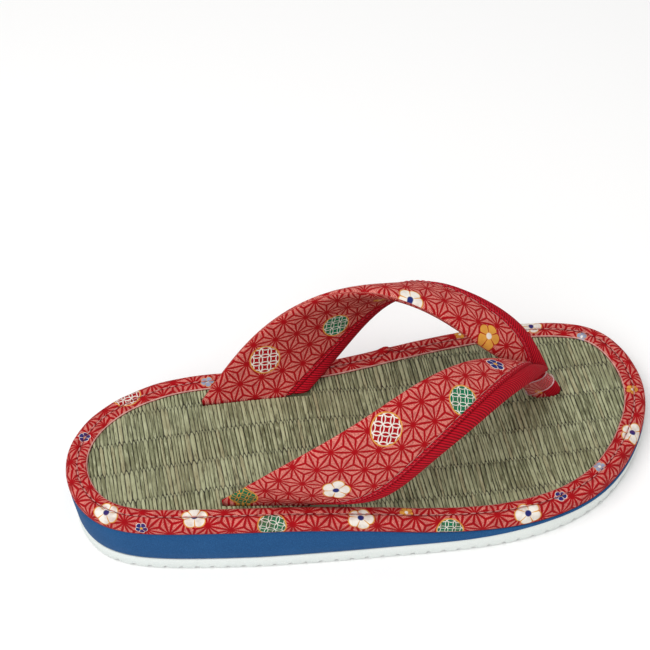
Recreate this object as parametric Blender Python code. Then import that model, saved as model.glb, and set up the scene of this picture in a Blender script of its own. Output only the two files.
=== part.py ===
"""Zori sandal for the right foot: wedge sole, rush footbed, padded edge binding and thong strap.

+X runs from heel to toe, +Y to the inner side of the foot and +Z up. The origin is at the middle of the
sandal's box, on the floor. Lengths are in metres.
"""

import math
from collections import namedtuple

import bmesh
import bpy
import numpy as np
from mathutils import Matrix, Vector

# Sole
LENGTH = 0.240
BALL_WIDTH = 0.106
HEEL_HEIGHT = 0.0266
TOE_HEIGHT = 0.0105
TOE_SPRING = 0.0030
TOE_BREAK = 0.186
HEEL_LIFT = 0.0008
HEEL_BREAK = 0.018
HEEL_UNDERCUT = 0.0020
UNDERCUT_REACH = 0.070
OUTSOLE_THICKNESS = 0.0057
WEDGE_TIP = 0.0012
MAT_THICKNESS = 0.0022
BOARD_THICKNESS = 0.0021
CLEARANCE = 0.0003

# Tread
RIB_PITCH = 0.0060
GROOVE_WIDTH = 0.0020
GROOVE_FLOOR = 0.0010
GROOVE_DEPTH = 0.0009
TREAD_MARGIN = 0.0080

# Edge binding
BINDING_WIDTH = 0.0088
BINDING_CROWN = 0.0015
BINDING_BODY = 0.0051
SEAM_INSET = 0.0046
SEAM_DEPTH = 0.0008
SEAM_WIDTH = 0.0010

# Straps
SLOT_REAR = 0.058
SLOT_SPREAD = 0.54 * BALL_WIDTH
SLOT_MIDDLE_X = 0.080
SLOT_MIDDLE_Y = -0.0046
JOINT_X = 0.203
STRAP_RISE = 0.0485
STRAP_THICKNESS = 0.0064
TRIM_WIDTH = 0.0072
TRIM_THICKNESS = 0.0008

# Toe post
POST_X = 0.1984
POST_Y = 0.0127
POST_LENGTH = 0.0140
POST_THICKNESS = 0.0058
POST_LEAN = 0.0080
SLEEVE_WALL = 0.0008
SLEEVE_HEIGHT = 0.0066
SLEEVE_TILT = 0.46
SLEEVE_TOP_TILT = 0.20

SIDE_STATIONS = 52
STRAP_STATIONS = 26
POST_SIDES = 24
POST_SQUARE = 0.8
SMOOTH_ANGLE = math.radians(35)

# Shares of a branch over which its sections turn to meet the other one, and to stand up in the slot
JOINT_BLEND = 0.25
FOOT_BLEND = 0.15

Outline = namedtuple("Outline", "along across")
Profile = namedtuple("Profile", "along footbed outsole")
Edge = namedtuple("Edge", "along lateral medial rise")
Swell = namedtuple("Swell", "along share")
PostSection = namedtuple("PostSection", "along back length thickness")

# The sole's plan, from the heel round by the outer side: shares of the length and of half the ball width
OUTLINE = [
    Outline(0.000, 0.00),
    Outline(0.018, -0.38),
    Outline(0.081, -0.63),
    Outline(0.195, -0.76),
    Outline(0.348, -0.86),
    Outline(0.528, -0.95),
    Outline(0.712, -0.99),
    Outline(0.867, -0.77),
    Outline(0.964, -0.28),
    Outline(1.000, 0.23),
    Outline(0.972, 0.73),
    Outline(0.884, 0.96),
    Outline(0.736, 0.99),
    Outline(0.565, 0.87),
    Outline(0.393, 0.72),
    Outline(0.236, 0.75),
    Outline(0.112, 0.64),
    Outline(0.032, 0.37),
]

# The sole's side: the footbed between toe and heel height, and the outsole's top in outsole thicknesses
PROFILE = [
    Profile(0.000, 1.00, 1.04),
    Profile(0.070, 0.99, 1.03),
    Profile(0.190, 0.97, 1.00),
    Profile(0.310, 0.91, 1.00),
    Profile(0.375, 0.84, 1.00),
    Profile(0.440, 0.72, 1.01),
    Profile(0.500, 0.58, 1.03),
    Profile(0.560, 0.44, 1.04),
    Profile(0.625, 0.33, 1.05),
    Profile(0.690, 0.24, 1.12),
    Profile(0.750, 0.18, 1.18),
    Profile(0.830, 0.12, 1.15),
    Profile(0.920, 0.06, 1.10),
    Profile(1.000, 0.00, 0.90),
]

# The strap's two edges from the slot to the toe joint: along the strap's reach, half spreads to the outer
# and inner side of its middle line, and rise above the footbed
HEEL_EDGE = [
    Edge(0.000, 0.76, 1.13, 0.02),
    Edge(0.170, 1.18, 1.29, 0.54),
    Edge(0.355, 1.24, 1.23, 0.88),
    Edge(0.520, 0.93, 0.92, 1.00),
    Edge(0.665, 0.52, 0.46, 0.90),
    Edge(0.780, 0.17, 0.12, 0.65),
    Edge(0.885, 0.00, 0.00, 0.38),
]
TOE_EDGE = [
    Edge(0.303, 1.24, 0.88, 0.02),
    Edge(0.423, 1.57, 1.26, 0.22),
    Edge(0.543, 1.58, 1.49, 0.50),
    Edge(0.669, 1.41, 1.43, 0.69),
    Edge(0.794, 1.04, 1.01, 0.72),
    Edge(0.911, 0.54, 0.49, 0.57),
    Edge(0.974, 0.00, 0.00, 0.26),
]

# How full the strap's padding is, from the slot to the toe joint
PADDING = [
    Swell(0.00, 0.50),
    Swell(0.12, 0.80),
    Swell(0.30, 1.00),
    Swell(0.75, 1.00),
    Swell(0.90, 0.85),
    Swell(1.00, 0.66),
]

# The toe post, from the footbed up to the joint: share of its lean to the heel, and of its plan size
POST_SECTIONS = [
    PostSection(0.00, 0.00, 0.96, 0.95),
    PostSection(0.30, 0.27, 1.00, 1.00),
    PostSection(0.65, 0.70, 0.94, 1.05),
    PostSection(1.00, 1.05, 0.90, 0.95),
]


def spline(points, steps, closed=False):
    """Evenly spaced points of the cubic spline through the given points."""
    knots = np.asarray(points, float)
    if closed:
        knots = np.vstack([knots, knots[:1]])
    last = len(knots) - 1
    system = np.eye(last + 1)
    bends = np.zeros_like(knots)
    for i in range(1, last):
        system[i, i - 1 : i + 2] = 1, 4, 1
        bends[i] = 6 * (knots[i - 1] - 2 * knots[i] + knots[i + 1])
    if closed:
        system[0, [0, 1, last - 1]] = 4, 1, 1
        system[last, [0, last]] = 1, -1
        bends[0] = 6 * (knots[last - 1] - 2 * knots[0] + knots[1])
    curve = np.linalg.solve(system, bends)
    place = np.linspace(0, last, steps)
    i = np.minimum(place.astype(int), last - 1)
    f = (place - i)[:, None]
    bend = (2 - f) * curve[i] + (1 + f) * curve[i + 1]
    return (1 - f) * knots[i] + f * knots[i + 1] - f * (1 - f) * bend / 6


def graph(rows, column):
    """A smooth height line through one column of a table, as a function of the share along it."""
    line = spline([(row.along, getattr(row, column)) for row in rows], 400)
    return lambda along: np.interp(along, line[:, 0], line[:, 1])


footbed_share = graph(PROFILE, "footbed")
outsole_share = graph(PROFILE, "outsole")
padding_share = graph(PADDING, "share")
post_back = graph(POST_SECTIONS, "back")
post_length = graph(POST_SECTIONS, "length")
post_thickness = graph(POST_SECTIONS, "thickness")


def footbed(x):
    """Height of the mat's top at a distance from the heel."""
    return TOE_HEIGHT + (HEEL_HEIGHT - TOE_HEIGHT) * footbed_share(x / LENGTH)


def board_top(x):
    return footbed(x) - MAT_THICKNESS - CLEARANCE


def board_bottom(x):
    return board_top(x) - BOARD_THICKNESS


def wedge_top(x):
    return board_bottom(x) - CLEARANCE


def tread(x):
    """Height of the tread's lands: on the floor, but for the toe's spring and the heel's lift."""
    toe = max(0.0, (x - TOE_BREAK) / (LENGTH - TOE_BREAK))
    heel = max(0.0, 1 - x / HEEL_BREAK)
    return TOE_SPRING * toe**1.6 + HEEL_LIFT * heel**2


def outsole_top(x):
    """Height of the outsole's top, which leaves the wedge its thinnest at the toe."""
    return min(outsole_share(x / LENGTH) * OUTSOLE_THICKNESS, wedge_top(x) - WEDGE_TIP - CLEARANCE)


def wedge_bottom(x):
    return outsole_top(x) + CLEARANCE


def sole_sides():
    """The outer and the inner side of the plan, each from heel to toe."""
    line = spline(OUTLINE, 1441, closed=True)[:-1]
    low = line.min(axis=0)
    high = line.max(axis=0)
    line = (line - low) / (high - low)
    line[:, 0] *= LENGTH
    line[:, 1] = (line[:, 1] - 0.5) * BALL_WIDTH
    line = np.roll(line, -int(line[:, 0].argmin()), axis=0)
    line[0, 0] = 0.0
    toe = int(line[:, 0].argmax())
    outer = line[: toe + 1]
    inner = np.vstack([line[:1], line[:toe - 1:-1]])
    return outer, inner


OUTER_SIDE, INNER_SIDE = sole_sides()


def side_points(side, stations, outward):
    """Points of one side at the stations, and the plan's outward direction there."""
    slope = np.gradient(side, axis=0)
    slope /= np.linalg.norm(slope, axis=1)[:, None]
    normal = np.column_stack([-slope[:, 1], slope[:, 0]]) * outward
    y = np.interp(stations, side[:, 0], side[:, 1])
    nx = np.interp(stations, side[:, 0], normal[:, 0])
    ny = np.interp(stations, side[:, 0], normal[:, 1])
    length = np.hypot(nx, ny)
    return np.column_stack([stations, y]), np.column_stack([nx / length, ny / length])


def contour(stations, inset):
    """The closed plan outline, moved inwards: heel, outer side, toe, inner side."""
    outer, outer_normal = side_points(OUTER_SIDE, stations, -1)
    inner, inner_normal = side_points(INNER_SIDE, stations, 1)
    outer_normal[0] = inner_normal[0] = (-1, 0)
    outer_normal[-1] = inner_normal[-1] = (1, 0)
    points = np.vstack([outer, inner[-2:0:-1]])
    normals = np.vstack([outer_normal, inner_normal[-2:0:-1]])
    depth = np.array([inset(x) if callable(inset) else inset for x in points[:, 0]])
    return points - normals * depth[:, None]


def round_stations(count):
    """Distances from the heel, closer together at the round ends."""
    return LENGTH / 2 * (1 - np.cos(np.linspace(0, math.pi, count)))


def undercut(x):
    """How far the sole's foot stands in from the binding at the heel."""
    return HEEL_UNDERCUT * max(0.0, 1 - x / UNDERCUT_REACH)


def to_world(x, y, z):
    return Vector((x - LENGTH / 2, y, z))


def add_object(name, mesh_builder, colour, roughness):
    """A named object from a bmesh, smooth but for its sharp edges, in its own material."""
    bmesh.ops.recalc_face_normals(mesh_builder, faces=mesh_builder.faces)
    mesh = bpy.data.meshes.new(name)
    mesh_builder.to_mesh(mesh)
    mesh_builder.free()
    mesh.shade_smooth()
    mesh.set_sharp_from_angle(angle=SMOOTH_ANGLE)
    material = bpy.data.materials.new(name)
    material.use_nodes = True
    shader = material.node_tree.nodes["Principled BSDF"]
    shader.inputs["Base Color"].default_value = (*colour, 1.0)
    shader.inputs["Roughness"].default_value = roughness
    shader.inputs["Metallic"].default_value = 0.0
    mesh.materials.append(material)
    item = bpy.data.objects.new(name, mesh)
    bpy.context.scene.collection.objects.link(item)
    return item


def skin(builder, rings, closed):
    """Quads between rings of the same number of points, the last ring joined to the first if closed."""
    loops = [[builder.verts.new(point) for point in ring] for ring in rings]
    pairs = list(zip(loops, loops[1:]))
    if closed:
        pairs.append((loops[-1], loops[0]))
    for below, above in pairs:
        for i in range(len(below)):
            k = (i + 1) % len(below)
            builder.faces.new((below[i], below[k], above[k], above[i]))
    return loops


def span_across(builder, loop):
    """Closes an outline of the sole by strips that join its outer to its inner side."""
    half = len(loop) // 2
    outer = loop[1:half]
    inner = loop[:half:-1]
    builder.faces.new((loop[0], outer[0], inner[0]))
    for i in range(len(outer) - 1):
        builder.faces.new((outer[i], outer[i + 1], inner[i + 1], inner[i]))
    builder.faces.new((outer[-1], loop[half], inner[-1]))


def plate(stations, rows):
    """A layer of the sole: rows of its wall from bottom to top, each an inset and a height line."""
    builder = bmesh.new()
    rings = []
    for inset, height in rows:
        rings.append([to_world(x, y, height(x)) for x, y in contour(stations, inset)])
    loops = skin(builder, rings, closed=False)
    span_across(builder, loops[0])
    span_across(builder, loops[-1])
    return builder


def tread_stations():
    """Distances from the heel where the tread's height changes, each with its depth into a groove."""
    ribs = int((LENGTH - 2 * TREAD_MARGIN) / RIB_PITCH)
    start = (LENGTH - ribs * RIB_PITCH + GROOVE_WIDTH) / 2
    slope = (GROOVE_WIDTH - GROOVE_FLOOR) / 2
    stations = []
    for rib in range(ribs):
        land = start + rib * RIB_PITCH
        stations.append((land, 0.0))
        stations.append((land + RIB_PITCH - GROOVE_WIDTH, 0.0))
        if rib < ribs - 1:
            stations.append((land + RIB_PITCH - GROOVE_WIDTH + slope, GROOVE_DEPTH))
            stations.append((land + RIB_PITCH - slope, GROOVE_DEPTH))
    heel_end = [(x, 0.0) for x in round_stations(SIDE_STATIONS) if x < start - slope]
    toe_end = [(LENGTH - x, 0.0) for x, _ in reversed(heel_end)]
    return heel_end + stations + toe_end


def outsole():
    """The white foam layer that stands on the floor, with ribs right across its tread."""
    stations, depths = np.array(tread_stations()).T
    depths = np.concatenate([depths, depths[-2:0:-1]])
    plan = contour(stations, undercut)
    bottom = [to_world(x, y, tread(x) + depth) for (x, y), depth in zip(plan, depths)]
    top = [to_world(x, y, outsole_top(x)) for x, y in plan]
    builder = bmesh.new()
    loops = skin(builder, [bottom, top], closed=False)
    span_across(builder, loops[0])
    span_across(builder, loops[1])
    return add_object("outsole", builder, (0.80, 0.83, 0.79), 0.75)


def midsole():
    """The blue foam wedge, full under the heel and thin under the toes."""
    rows = [(undercut, wedge_bottom), (0.0, wedge_top)]
    builder = plate(round_stations(SIDE_STATIONS), rows)
    return add_object("midsole", builder, (0.022, 0.125, 0.33), 0.85)


def insole_board():
    """The thin board that carries the mat inside the binding."""
    inset = BINDING_BODY + CLEARANCE
    builder = plate(round_stations(SIDE_STATIONS), [(inset, board_bottom), (inset, board_top)])
    return add_object("insole_board", builder, (0.45, 0.36, 0.24), 0.9)


def rush_mat():
    """The woven rush footbed, whose edge lies under the binding's lip."""
    inset = BINDING_BODY + CLEARANCE
    rows = [(inset, lambda x: footbed(x) - MAT_THICKNESS), (inset, footbed)]
    return add_object("rush_mat", plate(round_stations(SIDE_STATIONS), rows), (0.33, 0.34, 0.19), 0.8)


def binding_rows():
    """The binding's cross-section: inset from the outline and height above the mat."""
    drop = MAT_THICKNESS + CLEARANCE + BOARD_THICKNESS
    half = SEAM_WIDTH / 2
    crown = BINDING_CROWN
    outer_bulge = [
        (0.0, -drop * 0.55),
        (0.0, -drop * 0.22),
        (SEAM_INSET * 0.11, crown * 0.10),
        (SEAM_INSET * 0.34, crown * 0.72),
        (SEAM_INSET * 0.62, crown),
    ]
    shoulder = crown * 0.82
    seam = [(SEAM_INSET - half, shoulder), (SEAM_INSET, crown - SEAM_DEPTH), (SEAM_INSET + half, shoulder)]
    pad = (BINDING_WIDTH + SEAM_INSET) / 2
    lip = [(pad, crown * 0.95), (BINDING_WIDTH - half / 2, crown * 0.62), (BINDING_WIDTH, CLEARANCE)]
    inside = [(BINDING_BODY, CLEARANCE), (BINDING_BODY, -drop)]
    return [(half / 2, -drop)] + outer_bulge + seam + lip + inside


def rim_binding():
    """Padded printed fabric round the edge: it covers the mat's edge and the side down to the wedge."""
    stations = round_stations(SIDE_STATIONS)
    rings = []
    for inset, rise in binding_rows():
        rings.append([to_world(x, y, footbed(x) + rise) for x, y in contour(stations, inset)])
    builder = bmesh.new()
    skin(builder, rings, closed=True)
    return add_object("rim_binding", builder, (0.55, 0.06, 0.06), 0.85)


def strap_middle(x):
    """The line halfway between the two branches of the strap."""
    slope = (POST_Y - SLOT_MIDDLE_Y) / (JOINT_X - SLOT_MIDDLE_X)
    return SLOT_MIDDLE_Y + slope * (x - SLOT_MIDDLE_X)


def strap_edge(rows, side):
    """One edge of one branch, from the footbed at its slot to the toe joint."""
    reach = JOINT_X - SLOT_REAR
    points = []
    for row in rows:
        x = SLOT_REAR + row.along * reach
        spread = row.lateral if side < 0 else row.medial
        y = strap_middle(x) + side * spread * SLOT_SPREAD / 2
        points.append((x, y, footbed(x) + row.rise * STRAP_RISE))
    return spline(points, STRAP_STATIONS + 1)


def unit(vectors):
    return vectors / np.linalg.norm(vectors, axis=-1, keepdims=True)


StrapLine = namedtuple("StrapLine", "heel_edge chord width normal trim half_thickness")


def strap_line():
    """Both branches as one run of sections, from the outer slot over the toe joint to the inner slot."""
    heel_edges = []
    toe_edges = []
    normals = []
    trims = []
    shares = np.linspace(0, 1, STRAP_STATIONS + 1)
    for side in (-1, 1):
        heel = strap_edge(HEEL_EDGE, side)
        toe = strap_edge(TOE_EDGE, side)
        chord = toe - heel
        run = unit(np.gradient((heel + toe) / 2, axis=0))
        across = np.cross(chord, run) * -side
        slant = np.linalg.norm(across, axis=1) / np.linalg.norm(chord, axis=1)
        heel_edges.append(heel)
        toe_edges.append(toe)
        normals.append(unit(across))
        trims.append(TRIM_WIDTH / slant)
    joint = unit(normals[0][-1] + normals[1][-1])
    turn = np.clip((shares - 1 + JOINT_BLEND) / JOINT_BLEND, 0, 1)[:, None]
    turn = turn * turn * (3 - 2 * turn)
    normals = [own * (1 - turn) + joint * turn for own in normals]
    upright = np.clip(shares / FOOT_BLEND, 0, 1)
    for own in normals:
        own[:, 2] *= upright
    normals = [unit(own) for own in normals]
    half = padding_share(shares) * STRAP_THICKNESS / 2

    def joined(outer, inner):
        return np.concatenate([outer, inner[-2::-1]])

    heel_edge = joined(*heel_edges)
    chord = joined(*toe_edges) - heel_edge
    width = np.linalg.norm(chord, axis=1)
    return StrapLine(
        heel_edge, unit(chord), width, joined(*normals), joined(*trims), joined(half, half)
    )


STRAP_LINE = strap_line()


def strap_point(line, k, across, out):
    """A point of the strap's section: a distance from its heel edge, and one out from its middle."""
    point = line.heel_edge[k] + line.chord[k] * across + line.normal[k] * out
    return to_world(*point)


def fullness(line, k, across, inset):
    """Half the strap's thickness at a distance from its heel edge, inside an inset of its surface."""
    middle = line.width[k] / 2
    if across < middle:
        share = (middle - across) / middle
    else:
        share = (across - middle) / (middle - inset)
    return (line.half_thickness[k] - inset) * math.sqrt(max(0.0, 1 - min(share, 1.0) ** 3))


def both_faces(line, k, steps, inset):
    """Section points over the strap's outer face and back under its inner face."""
    outer = [strap_point(line, k, a, fullness(line, k, a, inset)) for a in steps]
    inner = [strap_point(line, k, a, -fullness(line, k, a, inset)) for a in reversed(steps)]
    return outer, inner


def strap_section(line, k):
    """The padded strap, stepped down where the trim covers its toe edge."""
    seam = line.width[k] - line.trim[k]
    sunk = TRIM_THICKNESS + CLEARANCE
    end = line.width[k] - sunk
    pad = [seam * share for share in (0.0, 0.02, 0.08, 0.2, 0.4, 0.7, 1.0)]
    under = [seam + (end - seam) * share for share in (0.02, 0.5, 0.85, 1.0)]
    pad_outer, pad_inner = both_faces(line, k, pad[1:], 0.0)
    under_outer, under_inner = both_faces(line, k, under[:-1], sunk)
    heel_tip = strap_point(line, k, 0.0, 0.0)
    toe_tip = strap_point(line, k, end, 0.0)
    return [heel_tip] + pad_outer + under_outer + [toe_tip] + under_inner + pad_inner


def straps():
    """The upper: two padded bands in one, from slot to slot, joined over the toe post."""
    line = STRAP_LINE
    rings = [strap_section(line, k) for k in range(len(line.width))]
    above_mat = HEEL_EDGE[0].rise * STRAP_RISE
    root = Vector((0, 0, above_mat + MAT_THICKNESS + CLEARANCE + BOARD_THICKNESS / 2))
    rings.insert(0, [point - root for point in rings[0]])
    rings.append([point - root for point in rings[-1]])
    builder = bmesh.new()
    loops = skin(builder, rings, closed=False)
    builder.faces.new(loops[0])
    builder.faces.new(loops[-1])
    return add_object("straps", builder, (0.60, 0.08, 0.08), 0.85)


def trim_section(line, k):
    """The ribbed band folded over the strap's toe edge."""
    start = line.width[k] - line.trim[k] + CLEARANCE
    outside = [start + (line.width[k] - start) * share for share in (0.0, 0.35, 0.7, 0.9, 1.0)]
    inner_end = line.width[k] - TRIM_THICKNESS
    inside = [start + (inner_end - start) * share for share in (0.0, 0.5, 0.85, 1.0)]
    outer, inner = both_faces(line, k, outside[:-1], 0.0)
    lining_outer, lining_inner = both_faces(line, k, inside[:-1], TRIM_THICKNESS)
    tip = strap_point(line, k, line.width[k], 0.0)
    lining_tip = strap_point(line, k, inner_end, 0.0)
    lining = lining_inner[::-1] + [lining_tip] + lining_outer[::-1]
    return outer + [tip] + inner + lining


def strap_trim():
    """The red band along the toe edge of both branches, which ends on the mat."""
    line = STRAP_LINE
    rings = [trim_section(line, k) for k in range(len(line.width))]
    builder = bmesh.new()
    loops = skin(builder, rings, closed=False)
    for loop in (loops[0], loops[-1]):
        half = len(loop) // 2
        for i in range(half - 1):
            builder.faces.new((loop[i], loop[i + 1], loop[-2 - i], loop[-1 - i]))
    return add_object("strap_trim", builder, (0.52, 0.01, 0.03), 0.8)


def joint_underside(x):
    """Height just under the strap where its branches meet."""
    k = STRAP_STATIONS
    start = STRAP_LINE.heel_edge[k]
    chord = STRAP_LINE.chord[k]
    drop = STRAP_LINE.half_thickness[k] / STRAP_LINE.normal[k][2]
    return start[2] + (x - start[0]) * chord[2] / chord[0] - drop - CLEARANCE


def squared(value):
    """Flattens a sine or cosine, so that a round plan becomes an oval with fuller corners."""
    return math.copysign(abs(value) ** POST_SQUARE, value)


def post_point(turn, height, grow):
    """A point of the post's surface, grown all round, at a turn round it and a height above the mat."""
    share = height / (joint_underside(POST_X - POST_LEAN) - footbed(POST_X))
    half_length = POST_LENGTH * post_length(share) / 2 + grow
    half_thickness = POST_THICKNESS * post_thickness(share) / 2 + grow
    x = POST_X - POST_LEAN * post_back(share) + half_length * squared(math.cos(turn))
    y = POST_Y + half_thickness * squared(math.sin(turn))
    return to_world(x, y, footbed(POST_X) + height)


def post_ring(height, tilt=0.0, grow=0.0):
    """A ring round the post at a height above the mat, higher by its tilt at the front."""
    turns = [2 * math.pi * step / POST_SIDES for step in range(POST_SIDES)]
    reach = POST_LENGTH / 2
    return [post_point(turn, height + tilt * reach * math.cos(turn), grow) for turn in turns]


def post_top():
    """The post's end, cut to the slope of the strap's underside."""
    ring = []
    for step in range(POST_SIDES):
        turn = 2 * math.pi * step / POST_SIDES
        height = joint_underside(POST_X - POST_LEAN) - footbed(POST_X)
        for _ in range(4):
            point = post_point(turn, height, 0.0)
            height = joint_underside(point.x + LENGTH / 2) - footbed(POST_X)
        ring.append(post_point(turn, height, 0.0))
    return ring


def toe_post():
    """The fabric post between the toes, from the strap's joint down through mat and board."""
    root = board_bottom(POST_X) - footbed(POST_X)
    free = joint_underside(POST_X) - footbed(POST_X)
    rings = [post_ring(0.0)]
    rings += [post_ring(free * share) for share in (0.25, 0.5, 0.75)]
    rings.insert(0, [point + Vector((0, 0, root)) for point in rings[0]])
    rings.append(post_top())
    builder = bmesh.new()
    loops = skin(builder, rings, closed=False)
    builder.faces.new(loops[0])
    builder.faces.new(loops[-1])
    return add_object("toe_post", builder, (0.55, 0.07, 0.07), 0.8)


def toe_sleeve():
    """The clear sleeve that keeps the post off the toes, low at the back and high at the front."""
    low = SLEEVE_TILT * POST_LENGTH / 2 + 2 * CLEARANCE
    middle = low + SLEEVE_HEIGHT / 2
    high = low + SLEEVE_HEIGHT
    heights = [(low, SLEEVE_TILT), (middle, (SLEEVE_TILT + SLEEVE_TOP_TILT) / 2), (high, SLEEVE_TOP_TILT)]
    outside = [post_ring(height, tilt, CLEARANCE + SLEEVE_WALL) for height, tilt in heights]
    inside = [post_ring(height, tilt, CLEARANCE) for height, tilt in heights]
    builder = bmesh.new()
    skin(builder, outside + inside[::-1], closed=True)
    return add_object("toe_sleeve", builder, (0.80, 0.76, 0.78), 0.12)


def slot_cutter(name, k):
    """A guide that cuts one strap slot through mat and board, in line with the strap's foot."""
    start = to_world(*STRAP_LINE.heel_edge[k])
    end = start + Vector(STRAP_LINE.chord[k]) * STRAP_LINE.width[k]
    middle = (start + end) / 2
    along = end - start
    size = (
        math.hypot(along.x, along.y) + 2 * CLEARANCE,
        2 * (STRAP_LINE.half_thickness[k] + CLEARANCE),
        2 * HEEL_HEIGHT,
    )
    turn = Matrix.Rotation(math.atan2(along.y, along.x), 4, "Z")
    place = Matrix.Translation(middle) @ turn @ Matrix.Diagonal((*size, 1))
    builder = bmesh.new()
    bmesh.ops.create_cube(builder, size=1.0, matrix=place)
    return as_cutter(add_object(name, builder, (0.5, 0.5, 0.5), 0.5))


def post_cutter():
    """A guide that cuts the toe post's hole through mat and board."""
    ring = post_ring(0.0, grow=CLEARANCE)
    reach = Vector((0, 0, HEEL_HEIGHT))
    builder = bmesh.new()
    rings = [[point - reach for point in ring], [point + reach for point in ring]]
    loops = skin(builder, rings, closed=False)
    builder.faces.new(loops[0])
    builder.faces.new(loops[1])
    return as_cutter(add_object("post_hole_cutter", builder, (0.5, 0.5, 0.5), 0.5))


def as_cutter(item):
    item.hide_render = True
    item.display_type = "WIRE"
    return item


def cut(item, cutters):
    """Cuts the openings out of a layer of the footbed."""
    for cutter in cutters:
        modifier = item.modifiers.new(cutter.name, "BOOLEAN")
        modifier.operation = "DIFFERENCE"
        modifier.object = cutter


def main():
    for item in list(bpy.data.objects):
        bpy.data.objects.remove(item)
    cutters = [
        slot_cutter("outer_slot_cutter", 0),
        slot_cutter("inner_slot_cutter", -1),
        post_cutter(),
    ]
    outsole()
    midsole()
    cut(insole_board(), cutters)
    cut(rush_mat(), cutters)
    rim_binding()
    straps()
    strap_trim()
    toe_post()
    toe_sleeve()


main()
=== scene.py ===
"""Zori sandal for the right foot: rush footbed, printed cotton edge and straps, and a foam wedge sole."""

import math

import bmesh
import bpy
import numpy as np
from mathutils import Matrix, Vector, noise


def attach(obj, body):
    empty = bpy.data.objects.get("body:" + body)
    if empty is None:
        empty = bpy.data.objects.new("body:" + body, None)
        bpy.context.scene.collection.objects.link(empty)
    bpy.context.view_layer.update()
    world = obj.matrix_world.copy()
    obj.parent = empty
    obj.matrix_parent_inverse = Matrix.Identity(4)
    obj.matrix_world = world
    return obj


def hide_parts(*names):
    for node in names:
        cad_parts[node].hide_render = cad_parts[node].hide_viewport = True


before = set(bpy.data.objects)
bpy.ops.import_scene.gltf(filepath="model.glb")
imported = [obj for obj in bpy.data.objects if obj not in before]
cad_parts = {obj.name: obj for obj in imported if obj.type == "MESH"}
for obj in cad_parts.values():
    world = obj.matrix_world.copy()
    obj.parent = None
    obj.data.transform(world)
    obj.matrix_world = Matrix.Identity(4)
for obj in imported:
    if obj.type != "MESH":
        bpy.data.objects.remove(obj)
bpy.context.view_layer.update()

# Sizes of the sandal in metres, as in the solids
LENGTH = 0.240
BALL_WIDTH = 0.106
HEEL_HEIGHT = 0.0266
TOE_HEIGHT = 0.0105
TOE_SPRING = 0.0030
TOE_BREAK = 0.186
HEEL_LIFT = 0.0008
HEEL_BREAK = 0.018
HEEL_UNDERCUT = 0.0020
UNDERCUT_REACH = 0.070
OUTSOLE_THICKNESS = 0.0057
WEDGE_TIP = 0.0012
MAT_THICKNESS = 0.0022
BOARD_THICKNESS = 0.0021
GAP = 0.0003
RIB_PITCH = 0.0060
RIB_GROOVE = 0.0020
RIB_DEPTH = 0.0009
RIB_START = 0.010
RIB_COUNT = 37
BINDING_WIDTH = 0.0088
BINDING_BODY = 0.0051
BINDING_CROWN = 0.0015
SEAM_INSET = 0.0046
SLOT_REAR = 0.058
SLOT_SPREAD = 0.54 * BALL_WIDTH
SLOT_MIDDLE = (0.080, -0.0046)
JOINT_X = 0.203
STRAP_RISE = 0.0485
STRAP_THICKNESS = 0.0064
TRIM_WIDTH = 0.0072
POST = (0.1984, 0.0127)
POST_LENGTH = 0.0140
POST_THICKNESS = 0.0058
POST_LEAN = 0.0080
SLEEVE_WALL = 0.0008
SLEEVE_HEIGHT = 0.0066
SLEEVE_TILT = 0.46
SLEEVE_TOP_TILT = 0.20
REED_WIDTH = 0.00155
WARP_PITCH = 0.01535
WARP_START = -0.00675
REED_POINT = 0.0016
REED_DEPTH = 0.00048
STAR_PITCH = 0.0090
THREAD_PITCH = 0.00062
TWILL_PITCH = 0.00125
PRINT_EDGE = 0.00015
RING_OUT = 0.00025
RING_LINE = (0.00012, 0.00034)
RIM_STITCH = 0.0032
FOLD_INSET = 0.0085
SLEEVE_ROUND = 0.035
END_DEPTH = 0.0040

# Slant of the twill, petals of a blossom, a medallion's circles in shares of its radius and their turn
TWILL_SLANT = 0.75
PETALS = 5
CIRCLE_SHARE = 0.42
NET_TURN = 0.785

# Points round the post, and the photograph's side in pixels
RING_POINTS = 49
PHOTO_SIZE = 650

# The sole's plan from the heel round by the outer side, in shares of its length and half its width
OUTLINE = [
    (0.000, 0.00), (0.018, -0.38), (0.081, -0.63), (0.195, -0.76), (0.348, -0.86), (0.528, -0.95),
    (0.712, -0.99), (0.867, -0.77), (0.964, -0.28), (1.000, 0.23), (0.972, 0.73), (0.884, 0.96),
    (0.736, 0.99), (0.565, 0.87), (0.393, 0.72), (0.236, 0.75), (0.112, 0.64), (0.032, 0.37),
]

# Along the sole: the footbed between toe and heel height, and the outsole's top in its thicknesses
PROFILE = [
    (0.000, 1.00, 1.04), (0.070, 0.99, 1.03), (0.190, 0.97, 1.00), (0.310, 0.91, 1.00),
    (0.375, 0.84, 1.00), (0.440, 0.72, 1.01), (0.500, 0.58, 1.03), (0.560, 0.44, 1.04),
    (0.625, 0.33, 1.05), (0.690, 0.24, 1.12), (0.750, 0.18, 1.18), (0.830, 0.12, 1.15),
    (0.920, 0.06, 1.10), (1.000, 0.00, 0.90),
]

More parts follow.
